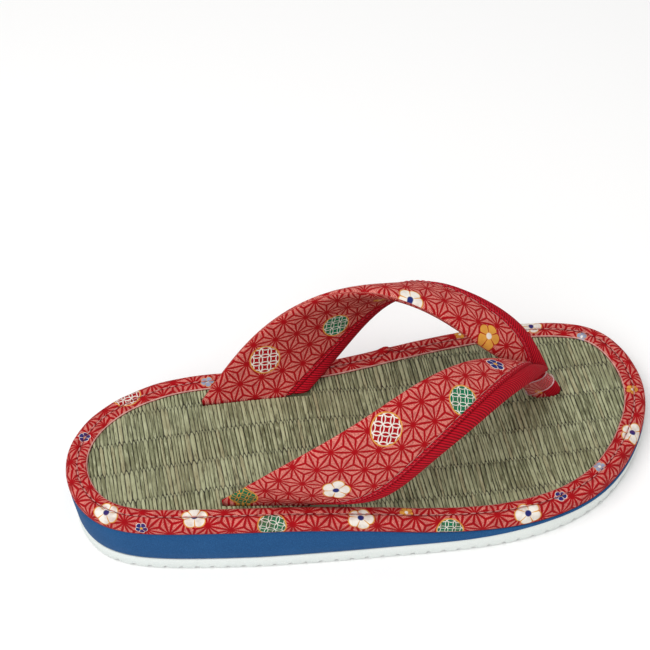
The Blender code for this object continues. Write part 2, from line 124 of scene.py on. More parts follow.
# The strap's edges: along its reach, half spreads to the outer and inner side, and rise
HEEL_EDGE = [
    (0.000, 0.76, 1.13, 0.02), (0.170, 1.18, 1.29, 0.54), (0.355, 1.24, 1.23, 0.88),
    (0.520, 0.93, 0.92, 1.00), (0.665, 0.52, 0.46, 0.90), (0.780, 0.17, 0.12, 0.65),
    (0.885, 0.00, 0.00, 0.38),
]
TOE_EDGE = [
    (0.303, 1.24, 0.88, 0.02), (0.423, 1.57, 1.26, 0.22), (0.543, 1.58, 1.49, 0.50),
    (0.669, 1.41, 1.43, 0.69), (0.794, 1.04, 1.01, 0.72), (0.911, 0.54, 0.49, 0.57),
    (0.974, 0.00, 0.00, 0.26),
]
PADDING = [(0.00, 0.50), (0.12, 0.80), (0.30, 1.00), (0.75, 1.00), (0.90, 0.85), (1.00, 0.66)]

# The toe post from the mat up: share of its lean to the heel, and of its plan size
POST_SECTIONS = [
    (0.0, 0.0, 0.96, 0.95),
    (0.30, 0.27, 1.00, 1.00),
    (0.65, 0.70, 0.94, 1.05),
    (1.0, 1.05, 0.90, 0.95),
]


def spline(points, steps, closed=False):
    """Evenly spaced points of the cubic spline through the given points."""
    knots = np.asarray(points, float)
    if closed:
        knots = np.vstack([knots, knots[:1]])
    last = len(knots) - 1
    system = np.eye(last + 1)
    bends = np.zeros_like(knots)
    for i in range(1, last):
        system[i, i - 1 : i + 2] = 1, 4, 1
        bends[i] = 6 * (knots[i - 1] - 2 * knots[i] + knots[i + 1])
    if closed:
        system[0, [0, 1, last - 1]] = 4, 1, 1
        system[last, [0, last]] = 1, -1
        bends[0] = 6 * (knots[last - 1] - 2 * knots[0] + knots[1])
    curve = np.linalg.solve(system, bends)
    place = np.linspace(0, last, steps)
    i = np.minimum(place.astype(int), last - 1)
    f = (place - i)[:, None]
    bend = (2 - f) * curve[i] + (1 + f) * curve[i + 1]
    return (1 - f) * knots[i] + f * knots[i + 1] - f * (1 - f) * bend / 6


def graph(rows, column):
    """One column of a table as a smooth function of its first column."""
    line = spline([(row[0], row[column]) for row in rows], 400)
    return lambda along: np.interp(along, line[:, 0], line[:, 1])


def unit(vectors):
    return vectors / np.maximum(np.linalg.norm(vectors, axis=-1, keepdims=True), 1e-12)


def step_up(value, low, high):
    """A soft step from 0 below the low end to 1 above the high end."""
    share = np.clip((value - low) / (high - low), 0, 1)
    return share * share * (3 - 2 * share)


def along_line(points):
    """Running length along a line of points."""
    return np.concatenate([[0.0], np.cumsum(np.linalg.norm(np.diff(points, axis=0), axis=1))])


footbed_share = graph(PROFILE, 1)
outsole_share = graph(PROFILE, 2)
padding_share = graph(PADDING, 1)
post_back = graph(POST_SECTIONS, 1)
post_length = graph(POST_SECTIONS, 2)
post_thickness = graph(POST_SECTIONS, 3)


def footbed(x):
    return TOE_HEIGHT + (HEEL_HEIGHT - TOE_HEIGHT) * footbed_share(np.asarray(x) / LENGTH)


def wedge_top(x):
    return footbed(x) - MAT_THICKNESS - BOARD_THICKNESS - 2 * GAP


def tread(x):
    toe = np.maximum(0.0, (np.asarray(x) - TOE_BREAK) / (LENGTH - TOE_BREAK))
    heel = np.maximum(0.0, 1 - np.asarray(x) / HEEL_BREAK)
    return TOE_SPRING * toe**1.6 + HEEL_LIFT * heel**2


def outsole_top(x):
    full = outsole_share(np.asarray(x) / LENGTH) * OUTSOLE_THICKNESS
    return np.minimum(full, wedge_top(x) - WEDGE_TIP - GAP)


def undercut(x):
    return HEEL_UNDERCUT * np.maximum(0.0, 1 - np.asarray(x) / UNDERCUT_REACH)


def plan_line():
    """The sole's plan, from the heel round by the outer side."""
    line = spline(OUTLINE, 2881, closed=True)[:-1]
    low = line.min(axis=0)
    line = (line - low) / (line.max(axis=0) - low)
    line = np.column_stack([line[:, 0] * LENGTH, (line[:, 1] - 0.5) * BALL_WIDTH])
    return np.roll(line, -int(line[:, 0].argmin()), axis=0)


PLAN = plan_line()
TOE = int(PLAN[:, 0].argmax())
OUTER_SIDE = PLAN[: TOE + 1]
INNER_SIDE = np.vstack([PLAN[:1], PLAN[: TOE - 1 : -1]])


def plan_ring(count):
    """Evenly spaced points round the plan, their outward directions and the running length."""
    line = np.vstack([PLAN, PLAN[:1]])
    length = along_line(line)
    place = np.linspace(0, length[-1], count)
    points = np.column_stack([np.interp(place, length, line[:, k]) for k in (0, 1)])
    slope = np.roll(PLAN, -6, axis=0) - np.roll(PLAN, 6, axis=0)
    normal = unit(np.column_stack([slope[:, 1], -slope[:, 0]]))
    normal = np.vstack([normal, normal[:1]])
    outward = unit(np.column_stack([np.interp(place, length, normal[:, k]) for k in (0, 1)]))
    return points, outward, place


def sides_at(stations, inset):
    """The outer and inner side of the plan at distances from the heel, moved inwards."""
    found = []
    for side, turn in ((OUTER_SIDE, -1), (INNER_SIDE, 1)):
        slope = unit(np.gradient(side, axis=0))
        normal = np.column_stack([-slope[:, 1], slope[:, 0]]) * turn
        y = np.interp(stations, side[:, 0], side[:, 1])
        out = unit(np.column_stack([np.interp(stations, side[:, 0], normal[:, k]) for k in (0, 1)]))
        out[0] = (-1, 0)
        out[-1] = (1, 0)
        found.append(np.column_stack([stations, y]) - out * np.asarray(inset)[..., None])
    return found


def laid_grid(builder, points, cloth=None):
    """A grid of faces laid through an array of points, with the cloth's own lengths as its UV map."""
    columns, rows = points.shape[0] - 1, points.shape[1] - 1
    made = bmesh.ops.create_grid(builder, x_segments=columns, y_segments=rows, size=1.0)["verts"]
    places = {}
    for vert in made:
        i = round((vert.co.x + 1) / 2 * columns)
        j = round((vert.co.y + 1) / 2 * rows)
        places[vert] = (i, j)
        vert.co = points[i, j]
    if cloth is not None:
        layer = builder.loops.layers.uv.get("cloth") or builder.loops.layers.uv.new("cloth")
        faces = {face for vert in made for face in vert.link_faces}
        for face in faces:
            for loop in face.loops:
                loop[layer].uv = cloth[places[loop.vert]]
    return made


def merge(builder):
    bmesh.ops.remove_doubles(builder, verts=builder.verts, dist=2e-6)
    bmesh.ops.dissolve_degenerate(builder, edges=builder.edges, dist=2e-6)
    bmesh.ops.recalc_face_normals(builder, faces=builder.faces)


def sheet(points, cloth):
    """A new mesh of one laid grid."""
    builder = bmesh.new()
    laid_grid(builder, points, cloth)
    merge(builder)
    return builder


def close_ends(builder):
    bmesh.ops.holes_fill(builder, edges=[edge for edge in builder.edges if edge.is_boundary], sides=0)
    bmesh.ops.recalc_face_normals(builder, faces=builder.faces)


def new_object(name, data):
    item = bpy.data.objects.new(name, data)
    bpy.context.scene.collection.objects.link(item)
    return item


def finish_piece(name, builder, material, stands_for, sharp=None):
    """A finished piece: it rides on the sandal and stands for its solid."""
    mesh = bpy.data.meshes.new(name)
    builder.to_mesh(mesh)
    builder.free()
    mesh.shade_smooth()
    if sharp is not None:
        mesh.set_sharp_from_angle(angle=math.radians(sharp))
    mesh.materials.append(material)
    item = new_object(name, mesh)
    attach(item, "root")
    if stands_for:
        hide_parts(*stands_for)
    return item


# Shader helpers


class Paint:
    """Short calls for the nodes of one material or group."""

    def __init__(self, tree):
        self.tree = tree

    def node(self, kind, **settings):
        node = self.tree.nodes.new(kind)
        for key, value in settings.items():
            setattr(node, key, value)
        return node

    def set(self, socket, value):
        if isinstance(value, bpy.types.NodeSocket):
            self.tree.links.new(value, socket)
        else:
            socket.default_value = value

    def fill(self, node, values):
        for socket, value in zip(node.inputs, values):
            self.set(socket, value)
        return node.outputs

    def math(self, operation, *values):
        return self.fill(self.node("ShaderNodeMath", operation=operation), values)[0]

    def plus(self, first, second):
        return self.math("ADD", first, second)

    def minus(self, first, second):
        return self.math("SUBTRACT", first, second)

    def times(self, first, second):
        return self.math("MULTIPLY", first, second)

    def over(self, first, second):
        return self.math("DIVIDE", first, second)

    def apart(self, first, second):
        """How far two values are from each other."""
        return self.math("ABSOLUTE", self.minus(first, second))

    def vector(self, operation, *values):
        outputs = self.fill(self.node("ShaderNodeVectorMath", operation=operation), values)
        return outputs["Value" if operation == "LENGTH" else "Vector"]

    def split(self, vector):
        node = self.node("ShaderNodeSeparateXYZ")
        self.set(node.inputs[0], vector)
        return node.outputs

    def join(self, x, y, z=0.0):
        return self.fill(self.node("ShaderNodeCombineXYZ"), (x, y, z))[0]

    def mix(self, share, first, second, kind="RGBA"):
        """The first value where the share is 0, the second where it is 1."""
        start, result = {"FLOAT": (2, 0), "VECTOR": (4, 1), "RGBA": (6, 2)}[kind]
        node = self.node("ShaderNodeMix", data_type=kind)
        self.set(node.inputs["Factor"], share)
        self.set(node.inputs[start], first)
        self.set(node.inputs[start + 1], second)
        return node.outputs[result]

    def soft(self, value, low, high, first=0.0, second=1.0):
        """A soft ramp: the first value below the low end, the second above the high end."""
        node = self.node("ShaderNodeMapRange", interpolation_type="SMOOTHSTEP")
        return self.fill(node, (value, low, high, first, second))[0]

    def noise(self, vector, scale, detail=3.0, roughness=0.5):
        node = self.node("ShaderNodeTexNoise")
        self.set(node.inputs["Vector"], vector)
        node.inputs["Scale"].default_value = scale
        node.inputs["Detail"].default_value = detail
        node.inputs["Roughness"].default_value = roughness
        return node.outputs["Fac"]

    def group(self, group, **values):
        node = self.node("ShaderNodeGroup", node_tree=group)
        for key, value in values.items():
            self.set(node.inputs[key], value)
        return node.outputs


def colour(red, green, blue):
    """A colour from its everyday 0 to 255 values."""
    values = [v / 255 for v in (red, green, blue)]
    return (*[v / 12.92 if v <= 0.04045 else ((v + 0.055) / 1.055) ** 2.4 for v in values], 1.0)


def new_group(name, inputs, outputs):
    """A shader node group with named sockets: vector or float ones."""
    kinds = {"V": "NodeSocketVector", "F": "NodeSocketFloat"}
    group = bpy.data.node_groups.new(name, "ShaderNodeTree")
    for socket, kind in inputs:
        group.interface.new_socket(socket, in_out="INPUT", socket_type=kinds[kind])
    for socket, kind in outputs:
        group.interface.new_socket(socket, in_out="OUTPUT", socket_type=kinds[kind])
    paint = Paint(group)
    return group, paint, paint.node("NodeGroupInput").outputs, paint.node("NodeGroupOutput").inputs


def turned_vector(paint, vector, angle):
    """A place turned round the cloth's own upright."""
    node = paint.node("ShaderNodeVectorRotate", rotation_type="Z_AXIS")
    paint.set(node.inputs["Vector"], vector)
    paint.set(node.inputs["Angle"], angle)
    return node.outputs[0]


def hemp_leaf_group():
    """Lines of the hemp-leaf pattern: twelve spokes in each six-sided cell."""
    group, paint, given, out = new_group(
        "Hemp leaf", [("Vector", "V"), ("Pitch", "F"), ("Line", "F")], [("Mask", "F")]
    )
    high = math.sqrt(3) / 2
    place = paint.vector("DIVIDE", given["Vector"], paint.join(given["Pitch"], given["Pitch"], 1.0))
    flat = paint.vector("MULTIPLY", place, (1.0, 1.0, 0.0))
    first = paint.vector("WRAP", flat, (0.5, high, 1.0), (-0.5, -high, -1.0))
    moved = paint.vector("ADD", flat, (0.5, high, 0.0))
    second = paint.vector("WRAP", moved, (0.5, high, 1.0), (-0.5, -high, -1.0))
    nearer = paint.math("LESS_THAN", paint.vector("LENGTH", first), paint.vector("LENGTH", second))
    cell = paint.mix(nearer, second, first, "VECTOR")
    x, y, _ = paint.split(cell)
    turn = paint.over(paint.math("ARCTAN2", y, x), math.radians(30))
    fold = paint.apart(turn, paint.math("ROUND", turn))
    reach = paint.vector("LENGTH", cell)
    away = paint.times(reach, paint.math("SINE", paint.times(fold, math.radians(30))))
    metres = paint.times(away, given["Pitch"])
    taper = paint.soft(reach, 0.08, 0.42, 0.62, 1.0)
    half = paint.times(paint.over(given["Line"], 2.0), taper)
    mask = paint.soft(metres, paint.times(half, 0.65), paint.times(half, 1.35), 1.0, 0.0)
    heart = paint.soft(reach, 0.03, 0.085, 1.0, 0.0)
    paint.set(out["Mask"], paint.math("MAXIMUM", mask, heart))
    return group


def treasure_group():
    """A round medallion of overlapping circles inside a thin ring."""
    group, paint, given, out = new_group(
        "Medallion",
        [("Vector", "V"), ("Centre", "V"), ("Radius", "F"), ("Circle", "F"), ("Turn", "F"), ("Line", "F")],
        [("Disc", "F"), ("Lattice", "F"), ("Ring", "F")],
    )
    place = paint.vector("SUBTRACT", given["Vector"], given["Centre"])
    away = paint.vector("LENGTH", place)
    inner = paint.minus(given["Radius"], PRINT_EDGE)
    outer = paint.plus(given["Radius"], PRINT_EDGE)
    paint.set(out["Disc"], paint.soft(away, inner, outer, 1.0, 0.0))
    rim = paint.apart(away, paint.plus(given["Radius"], RING_OUT))
    paint.set(out["Ring"], paint.soft(rim, *RING_LINE, 1.0, 0.0))
    size = paint.join(given["Circle"], given["Circle"], 1.0)
    share = paint.vector("DIVIDE", turned_vector(paint, place, given["Turn"]), size)
    cell = paint.vector("WRAP", share, (1.0, 1.0, 1.0), (-1.0, -1.0, -1.0))
    first = paint.vector("LENGTH", cell)
    corner = paint.vector("SUBTRACT", paint.vector("ABSOLUTE", cell), (1.0, 1.0, 0.0))
    second = paint.vector("LENGTH", corner)
    lines = []
    for reach in (first, second):
        off = paint.apart(reach, 1.0)
        lines.append(paint.soft(paint.over(off, given["Line"]), 0.6, 1.4, 1.0, 0.0))
    paint.set(out["Lattice"], paint.math("MAXIMUM", *lines))
    return group


def blossom_group():
    """A round-petalled blossom: its petals, its outline and its heart."""
    group, paint, given, out = new_group(
        "Blossom",
        [("Vector", "V"), ("Centre", "V"), ("Radius", "F"), ("Turn", "F")],
        [("Petals", "F"), ("Outline", "F"), ("Heart", "F")],
    )
    place = paint.vector("SUBTRACT", given["Vector"], given["Centre"])
    x, y, _ = paint.split(place)
    reach = paint.over(paint.vector("LENGTH", place), given["Radius"])
    turn = paint.plus(paint.math("ARCTAN2", y, x), given["Turn"])
    wave = paint.math("ABSOLUTE", paint.math("COSINE", paint.times(turn, PETALS / 2)))
    edge = paint.plus(0.72, paint.times(paint.math("POWER", wave, 0.55), 0.28))
    share = paint.over(reach, edge)
    paint.set(out["Petals"], paint.soft(share, 0.94, 1.0, 1.0, 0.0))
    rim = paint.soft(share, 0.86, 0.92)
    veins = paint.times(paint.soft(wave, 0.10, 0.22, 1.0, 0.0), paint.soft(share, 0.25, 0.35))
    paint.set(out["Outline"], paint.math("MAXIMUM", rim, veins))
    paint.set(out["Heart"], paint.soft(reach, 0.18, 0.26, 1.0, 0.0))
    return group


def weave_group():
    """Plain-woven threads: a height for bumps, and a tone for painted shade between threads."""
    group, paint, given, out = new_group(
        "Plain weave", [("Vector", "V"), ("Pitch", "F")], [("Height", "F"), ("Tone", "F")]
    )
    place = paint.vector("DIVIDE", given["Vector"], paint.join(given["Pitch"], given["Pitch"], 1.0))
    x, y, _ = paint.split(place)
    warp = paint.math("SINE", paint.times(x, 2 * math.pi))
    weft = paint.math("SINE", paint.times(y, 2 * math.pi))
    height = paint.times(warp, weft)
    paint.set(out["Height"], height)
    # Tone: low where the threads lie low, used for painted shade between threads
    paint.set(out["Tone"], paint.soft(height, -0.8, 0.5))
    return group


def twill_group():
    """Diagonal ribs of a twill band."""
    group, paint, given, out = new_group("Twill", [("Vector", "V"), ("Pitch", "F")], [("Height", "F")])
    x, y, _ = paint.split(given["Vector"])
    slant = paint.minus(x, paint.times(y, TWILL_SLANT))
    wave = paint.math("SINE", paint.times(paint.over(slant, given["Pitch"]), 2 * math.pi))
    paint.set(out["Height"], paint.math("MULTIPLY_ADD", wave, 0.5, 0.5))
    return group


HEMP_LEAF = hemp_leaf_group()
TREASURE = treasure_group()
BLOSSOM = blossom_group()
WEAVE = weave_group()
TWILL = twill_group()

RED = colour(162, 5, 16)
PINK = colour(248, 155, 141)
WHITE = colour(236, 230, 220)
GOLD = colour(218, 156, 66)
GREEN = colour(10, 110, 74)
NAVY = colour(28, 44, 110)
PALE = colour(150, 164, 190)
# Painted shade between the woven threads, and also the colour of the random specks
THREAD_GAP_SHADE_AND_SPECK = colour(140, 28, 32)
# Mottled red of wear, which on the binding also serves as painted shade
WEAR_AND_SHADE_RED = colour(120, 16, 22)
# Twill reds, from the painted shade in a rib's groove to the rib's crest
TWILL_RED_GROOVE_SHADE = (colour(110, 1, 13), colour(198, 14, 36))
POST_TWILL_RED_GROOVE_SHADE = (colour(146, 6, 22), colour(196, 14, 36))
REED_TONES = (colour(116, 118, 86), colour(164, 166, 130))
# Painted shade in the gaps between the reeds
REED_GAP_SHADE = colour(32, 28, 14)

# Blossoms: petals, outline and heart
BLOSSOM_COLOURS = {
    "gold blossom": (GOLD, RED, WHITE),
    "white blossom": (WHITE, GOLD, NAVY),
    "navy blossom": (NAVY, WHITE, GOLD),
    "pale blossom": (PALE, GOLD, WHITE),
}

# Medallions: field, lattice and width of its lines in shares of a circle
MEDALLIONS = {
    "red medallion": (RED, WHITE, 0.085),
    "green medallion": (GREEN, WHITE, 0.055),
    "green ball": (GREEN, GOLD, 0.055),
}


def new_material(name, roughness, specular=0.5, sheen=0.0):
    """A material with its Principled shader, and the short node calls for it."""
    material = bpy.data.materials.new(name)
    material.use_nodes = True
    shader = material.node_tree.nodes["Principled BSDF"]
    shader.inputs["Roughness"].default_value = roughness
    shader.inputs["Specular IOR Level"].default_value = specular
    shader.inputs["Sheen Weight"].default_value = sheen
    shader.inputs["Sheen Roughness"].default_value = 0.5
    return material, Paint(material.node_tree), shader.inputs


def cloth_vector(paint):
    return paint.node("ShaderNodeUVMap", uv_map="cloth").outputs[0]


def object_vector(paint):
    return paint.node("ShaderNodeTexCoord").outputs["Object"]


def bump(paint, inputs, height, distance, strength=1.0):
    node = paint.node("ShaderNodeBump")
    node.inputs["Strength"].default_value = strength
    node.inputs["Distance"].default_value = distance
    paint.set(node.inputs["Height"], height)
    paint.set(inputs["Normal"], node.outputs[0])


def printed_cotton(name, turn, motifs, lines=(), band=None, line=0.00088, wear_and_shade=0.22):
    """Red and pink hemp-leaf print with scattered motifs, on plain-woven cotton."""
    material, paint, inputs = new_material(name, 0.9, specular=0.15)
    flat = cloth_vector(paint)
    beside = paint.split(flat)[1]
    turned = turned_vector(paint, flat, turn)
    star = paint.group(HEMP_LEAF, Vector=turned, Pitch=STAR_PITCH, Line=line)["Mask"]
    weave = paint.group(WEAVE, Vector=flat, Pitch=THREAD_PITCH)
    # Painted shade in the low places between the threads
    ground = paint.mix(paint.minus(1.0, weave["Tone"]), PINK, THREAD_GAP_SHADE_AND_SPECK)
    speck = paint.soft(paint.noise(flat, 1500.0, 1.0), 0.50, 0.60, 0.0, 0.4)
    shade = paint.mix(star, paint.mix(speck, ground, THREAD_GAP_SHADE_AND_SPECK), RED)
    for kind, along, across, size, spin in motifs:
        centre = (along, across, 0.0)
        if kind in MEDALLIONS:
            field, lattice, width = MEDALLIONS[kind]
            net = {"Circle": size * CIRCLE_SHARE, "Line": width, "Turn": spin + NET_TURN}
            got = paint.group(TREASURE, Vector=flat, Centre=centre, Radius=size, **net)
            inside = paint.mix(got["Lattice"], field, lattice)
            shade = paint.mix(got["Disc"], shade, inside)
            shade = paint.mix(got["Ring"], shade, GOLD)
        else:
            petals, outline, heart = BLOSSOM_COLOURS[kind]
            got = paint.group(BLOSSOM, Vector=flat, Centre=centre, Radius=size, Turn=spin)
            inside = paint.mix(got["Outline"], petals, outline)
            inside = paint.mix(got["Heart"], inside, heart)
            shade = paint.mix(got["Petals"], shade, inside)
    # Lines along the cloth; on the binding these are painted highlight, painted shade and painted shadow
    for place, half, tone, strength in lines:
        off = paint.apart(beside, place)
        shade = paint.mix(paint.soft(off, half * 0.6, half * 1.5, strength, 0.0), shade, tone)
    if band is not None:
        ribs = paint.group(TWILL, Vector=flat, Pitch=TWILL_PITCH)["Height"]
        front = paint.soft(paint.math("ABSOLUTE", beside), band * 0.96, band, 1.0, 0.0)
        # The post's ribbed band, with painted shade between its ribs
        shade = paint.mix(front, shade, paint.mix(ribs, *POST_TWILL_RED_GROOVE_SHADE))
    # Random mottled wear; the binding's larger share of it is painted shade that darkens the binding
    wear_and_shade_mottle = paint.noise(flat, 260.0, 4.0)
    shade = paint.mix(paint.soft(wear_and_shade_mottle, 0.35, 0.75, 0.0, wear_and_shade), shade, WEAR_AND_SHADE_RED)
    paint.set(inputs["Base Color"], shade)
    fuzz = paint.noise(flat, 5200.0, 2.0)
    bump(paint, inputs, paint.math("MULTIPLY_ADD", fuzz, 0.5, weave["Height"]), 0.00007, 0.6)
    return material


def red_twill():
    """The ribbed red band, with painted shade between its ribs."""
    material, paint, inputs = new_material("red_twill", 0.85, specular=0.15)
    flat = cloth_vector(paint)
    ribs = paint.group(TWILL, Vector=flat, Pitch=TWILL_PITCH)["Height"]
    faded = paint.soft(paint.noise(flat, 340.0, 4.0), 0.4, 0.8, 0.0, 0.3)
    # Painted shade between the ribs, and random faded patches
    shade = paint.mix(faded, paint.mix(ribs, *TWILL_RED_GROOVE_SHADE), colour(150, 8, 26))
    paint.set(inputs["Base Color"], shade)
    fuzz = paint.noise(flat, 4000.0, 2.0)
    bump(paint, inputs, paint.math("MULTIPLY_ADD", fuzz, 0.3, ribs), 0.0002)
    return material


def reed_group():
    """The pattern of the reeds: a mask of the gaps for painted shade, and a tone that each reed has for
    itself.
    """
    group, paint, given, out = new_group("Reeds", [("Vector", "V")], [("Gap", "F"), ("Tone", "F")])
    x, y, _ = paint.split(given["Vector"])
    row = paint.over(paint.minus(y, WARP_START), WARP_PITCH)
    nearest = paint.math("ROUND", row)
    reach = paint.times(paint.minus(row, nearest), WARP_PITCH / REED_POINT)
    reach = paint.math("MINIMUM", paint.math("MAXIMUM", reach, -1.0), 1.0)
    tops, tones = [], []
    for step, slope in ((-1.0, -0.5), (0.0, 0.5)):
        band = paint.plus(nearest, step)
        share = paint.math("MULTIPLY_ADD", reach, slope, 0.5)
        point = paint.times(paint.math("POWER", paint.times(share, 2.0), 2.6), 0.25)
        half = paint.math("MINIMUM", paint.math("MULTIPLY_ADD", share, 0.42, 0.04), point)
        odd = paint.math("ABSOLUTE", paint.math("MODULO", band, 2.0))
        place = paint.plus(paint.over(x, REED_WIDTH), paint.times(odd, 0.5))
        number = paint.math("ROUND", place)
        off = paint.apart(place, number)
        tops.append(paint.minus(half, off))
        own = paint.node("ShaderNodeTexWhiteNoise", noise_dimensions="2D")
        paint.set(own.inputs["Vector"], paint.join(number, band))
        tones.append(own.outputs["Value"])
    first = paint.math("GREATER_THAN", tops[0], tops[1])
    paint.set(out["Tone"], paint.mix(first, tones[1], tones[0], "FLOAT"))
    paint.set(out["Gap"], paint.soft(paint.math("MAXIMUM", *tops), 0.0, 0.16, 1.0, 0.0))
    return group


def rush():
    """Olive-green reeds, each of its own tone, with painted shade in the gaps between them."""
    material, paint, inputs = new_material("rush", 0.6, specular=0.4)
    flat = cloth_vector(paint)
    x, y, _ = paint.split(flat)
    reeds = paint.group(reed_group(), Vector=flat)

    def drawn(stretch, scale, detail, roughness=0.5):
        """Noise drawn out along the reeds."""
        return paint.noise(paint.join(paint.times(x, stretch), y), scale, detail, roughness)

    streak = drawn(10.0, 150.0, 4.0, 0.6)
    patch = paint.noise(flat, 30.0, 3.0)
    shade = paint.mix(paint.soft(reeds["Tone"], 0.1, 0.9), *REED_TONES)
    shade = paint.mix(paint.soft(reeds["Tone"], 0.88, 0.94, 0.0, 0.6), shade, colour(142, 130, 96))
    shade = paint.mix(paint.soft(streak, 0.5, 0.64, 0.0, 0.8), shade, colour(180, 182, 147))
    shade = paint.mix(paint.soft(streak, 0.36, 0.46, 0.9, 0.0), shade, colour(78, 76, 50))
    shade = paint.mix(paint.soft(patch, 0.45, 0.7, 0.0, 0.4), shade, colour(128, 120, 88))
    # Painted shade in the gaps between reeds, deeper in some places than others
    gap_shade_depth = paint.soft(drawn(4.0, 110.0, 3.0), 0.35, 0.6, 0.55, 1.0)
    shade = paint.mix(paint.times(reeds["Gap"], gap_shade_depth), shade, REED_GAP_SHADE)
    paint.set(inputs["Base Color"], shade)
    bump(paint, inputs, drawn(30.0, 160.0, 3.0), 0.0002, 0.5)
    return material


def foam(name, tone, fleck, share):
    """Fine-celled foam with paler flecks."""
    material, paint, inputs = new_material(name, 0.82, specular=0.3)
    place = object_vector(paint)
    fine = paint.noise(place, 2600.0, 2.0)
    broad = paint.noise(place, 60.0, 3.0)
    shade = paint.mix(paint.soft(fine, 0.42, 0.66, 0.0, share), tone, fleck)
    shade = paint.mix(paint.soft(broad, 0.4, 0.8, 0.0, 0.18), shade, fleck)
    paint.set(inputs["Base Color"], shade)
    bump(paint, inputs, fine, 0.00012, 0.35)
    return material


def clear_vinyl():
    """Clear soft vinyl, with a painted highlight along its cut edges."""
    material, paint, inputs = new_material("clear_vinyl", 0.14)
    flat = cloth_vector(paint)
    cloud = paint.noise(flat, 300.0, 3.0)
    across = paint.split(flat)[1]
    # Painted highlight: whiter and less clear along the cut edges
    edge = paint.soft(paint.apart(across, 0.5), 0.482, 0.5)
    paint.set(inputs["Base Color"], paint.mix(edge, colour(232, 128, 128), colour(236, 218, 220)))
    clear = paint.math("MULTIPLY_ADD", cloud, 0.06, 0.14)
    paint.set(inputs["Alpha"], paint.math("MULTIPLY_ADD", edge, 0.5, clear))
    inputs["Coat Weight"].default_value = 0.6
    inputs["Coat Roughness"].default_value = 0.08
    bump(paint, inputs, cloud, 0.00004, 0.15)
    return material


def board():
    material, paint, inputs = new_material("board", 0.9)
    place = object_vector(paint)
    fibre = paint.noise(place, 500.0, 4.0)
    paint.set(inputs["Base Color"], paint.mix(fibre, colour(150, 124, 92), colour(186, 160, 122)))
    bump(paint, inputs, fibre, 0.0001, 0.5)
    return material


def thread(name, tone):
    material, paint, inputs = new_material(name, 0.7, specular=0.3, sheen=0.3)
    place = object_vector(paint)
    fuzz = paint.noise(place, 3000.0, 2.0)
    paint.set(inputs["Base Color"], paint.mix(paint.times(fuzz, 0.4), tone, colour(90, 10, 18)))
    bump(paint, inputs, fuzz, 0.00005, 0.4)
    return material


# Sole


def rib_relief(x):
    """How far the tread's grooves rise into the foam."""
    place = np.asarray(x) - RIB_START + RIB_GROOVE / 2
    off = np.abs((place + RIB_PITCH / 2) % RIB_PITCH - RIB_PITCH / 2)
    within = (place > RIB_PITCH / 2) & (place < (RIB_COUNT - 0.5) * RIB_PITCH)
    return np.where(within, RIB_DEPTH * (1 - step_up(off, RIB_GROOVE * 0.25, RIB_GROOVE * 0.6)), 0.0)


def layer(name, stations, rows, material, stands_for, slot, sharp):
    """A layer of the sole between two caps: its wall's rows, each an inset and a height."""
    builder = bmesh.new()
    walls = []
    for inset, height in rows:
        outer, inner = sides_at(stations, inset)
        ring = np.vstack([outer, inner[-2::-1]])
        walls.append(np.column_stack([ring[:, 0] - LENGTH / 2, ring[:, 1], height(ring[:, 0])]))
    points = np.stack(walls, axis=1)
    laid_grid(builder, points)
    half = len(stations)
    for row in (0, -1):
        outer = points[:half, row]
        inner = points[half - 1 :, row][::-1]
        laid_grid(builder, np.stack([outer, inner], axis=1))
    merge(builder)
    return finish_piece(name, builder, material, stands_for, sharp)


def sole():
    ends = LENGTH / 2 * (1 - np.cos(np.linspace(0, math.pi, 140)))
    ribs = np.arange(RIB_START - RIB_GROOVE, LENGTH - RIB_START + RIB_GROOVE, RIB_PITCH / 12)
    stations = np.unique(np.round(np.concatenate([ends, ribs]), 5))
    foot = [
        (lambda x: undercut(x) + 0.0012, lambda x: tread(x) + rib_relief(x)),
        (lambda x: undercut(x) + 0.0004, lambda x: tread(x) + rib_relief(x) + 0.0002),
        (undercut, lambda x: tread(x) + rib_relief(x) * 0.9 + 0.0009),
        (lambda x: undercut(x) * 0.94, lambda x: tread(x) * 0.5 + outsole_top(x) * 0.5),
        (lambda x: undercut(x) * 0.88, lambda x: outsole_top(x) - 0.0004),
        (lambda x: undercut(x) * 0.88 + 0.0003, outsole_top),
    ]
    rows = [(inset(stations), height) for inset, height in foot]
    white = foam("white_foam", colour(222, 228, 224), colour(238, 241, 239), 0.5)
    layer("outsole_ribbed_foam", stations, rows, white, ["outsole"], "white_foam", 50)

    def between(share):
        return lambda x: (outsole_top(x) + GAP) * (1 - share) + wedge_top(x) * share

    body = [
        (lambda x: undercut(x) * 0.9 + 0.0004, between(0.0)),
        (lambda x: undercut(x) * 0.88, between(0.04)),
        (lambda x: undercut(x) * 0.62, between(0.33)),
        (lambda x: undercut(x) * 0.28, between(0.7)),
        (lambda x: undercut(x) * 0.06 + 0.0002, between(0.94)),
        (lambda x: 0.0006, between(1.0)),
    ]
    rows = [(inset(ends), height) for inset, height in body]
    blue = foam("blue_foam", colour(10, 70, 120), colour(38, 98, 152), 0.45)
    layer("midsole_foam_wedge", ends, rows, blue, ["midsole"], "blue_foam", 50)


# Rush mat


def reed_parts(x, y):
    """The reed under a point in each of two bands: its number, band, offset and half width in reeds."""
    row = (y - WARP_START) / WARP_PITCH
    nearest = np.round(row)
    reach = np.clip((row - nearest) * WARP_PITCH / REED_POINT, -1, 1)
    found = []
    for band, share in ((nearest - 1, (1 - reach) / 2), (nearest, (1 + reach) / 2)):
        place = x / REED_WIDTH + 0.5 * (band % 2)
        number = np.round(place)
        half = 0.5 * np.minimum(0.08 + 0.84 * share, 0.5 * (2 * share) ** 2.6)
        found.append((number, band, place - number, half))
    return found


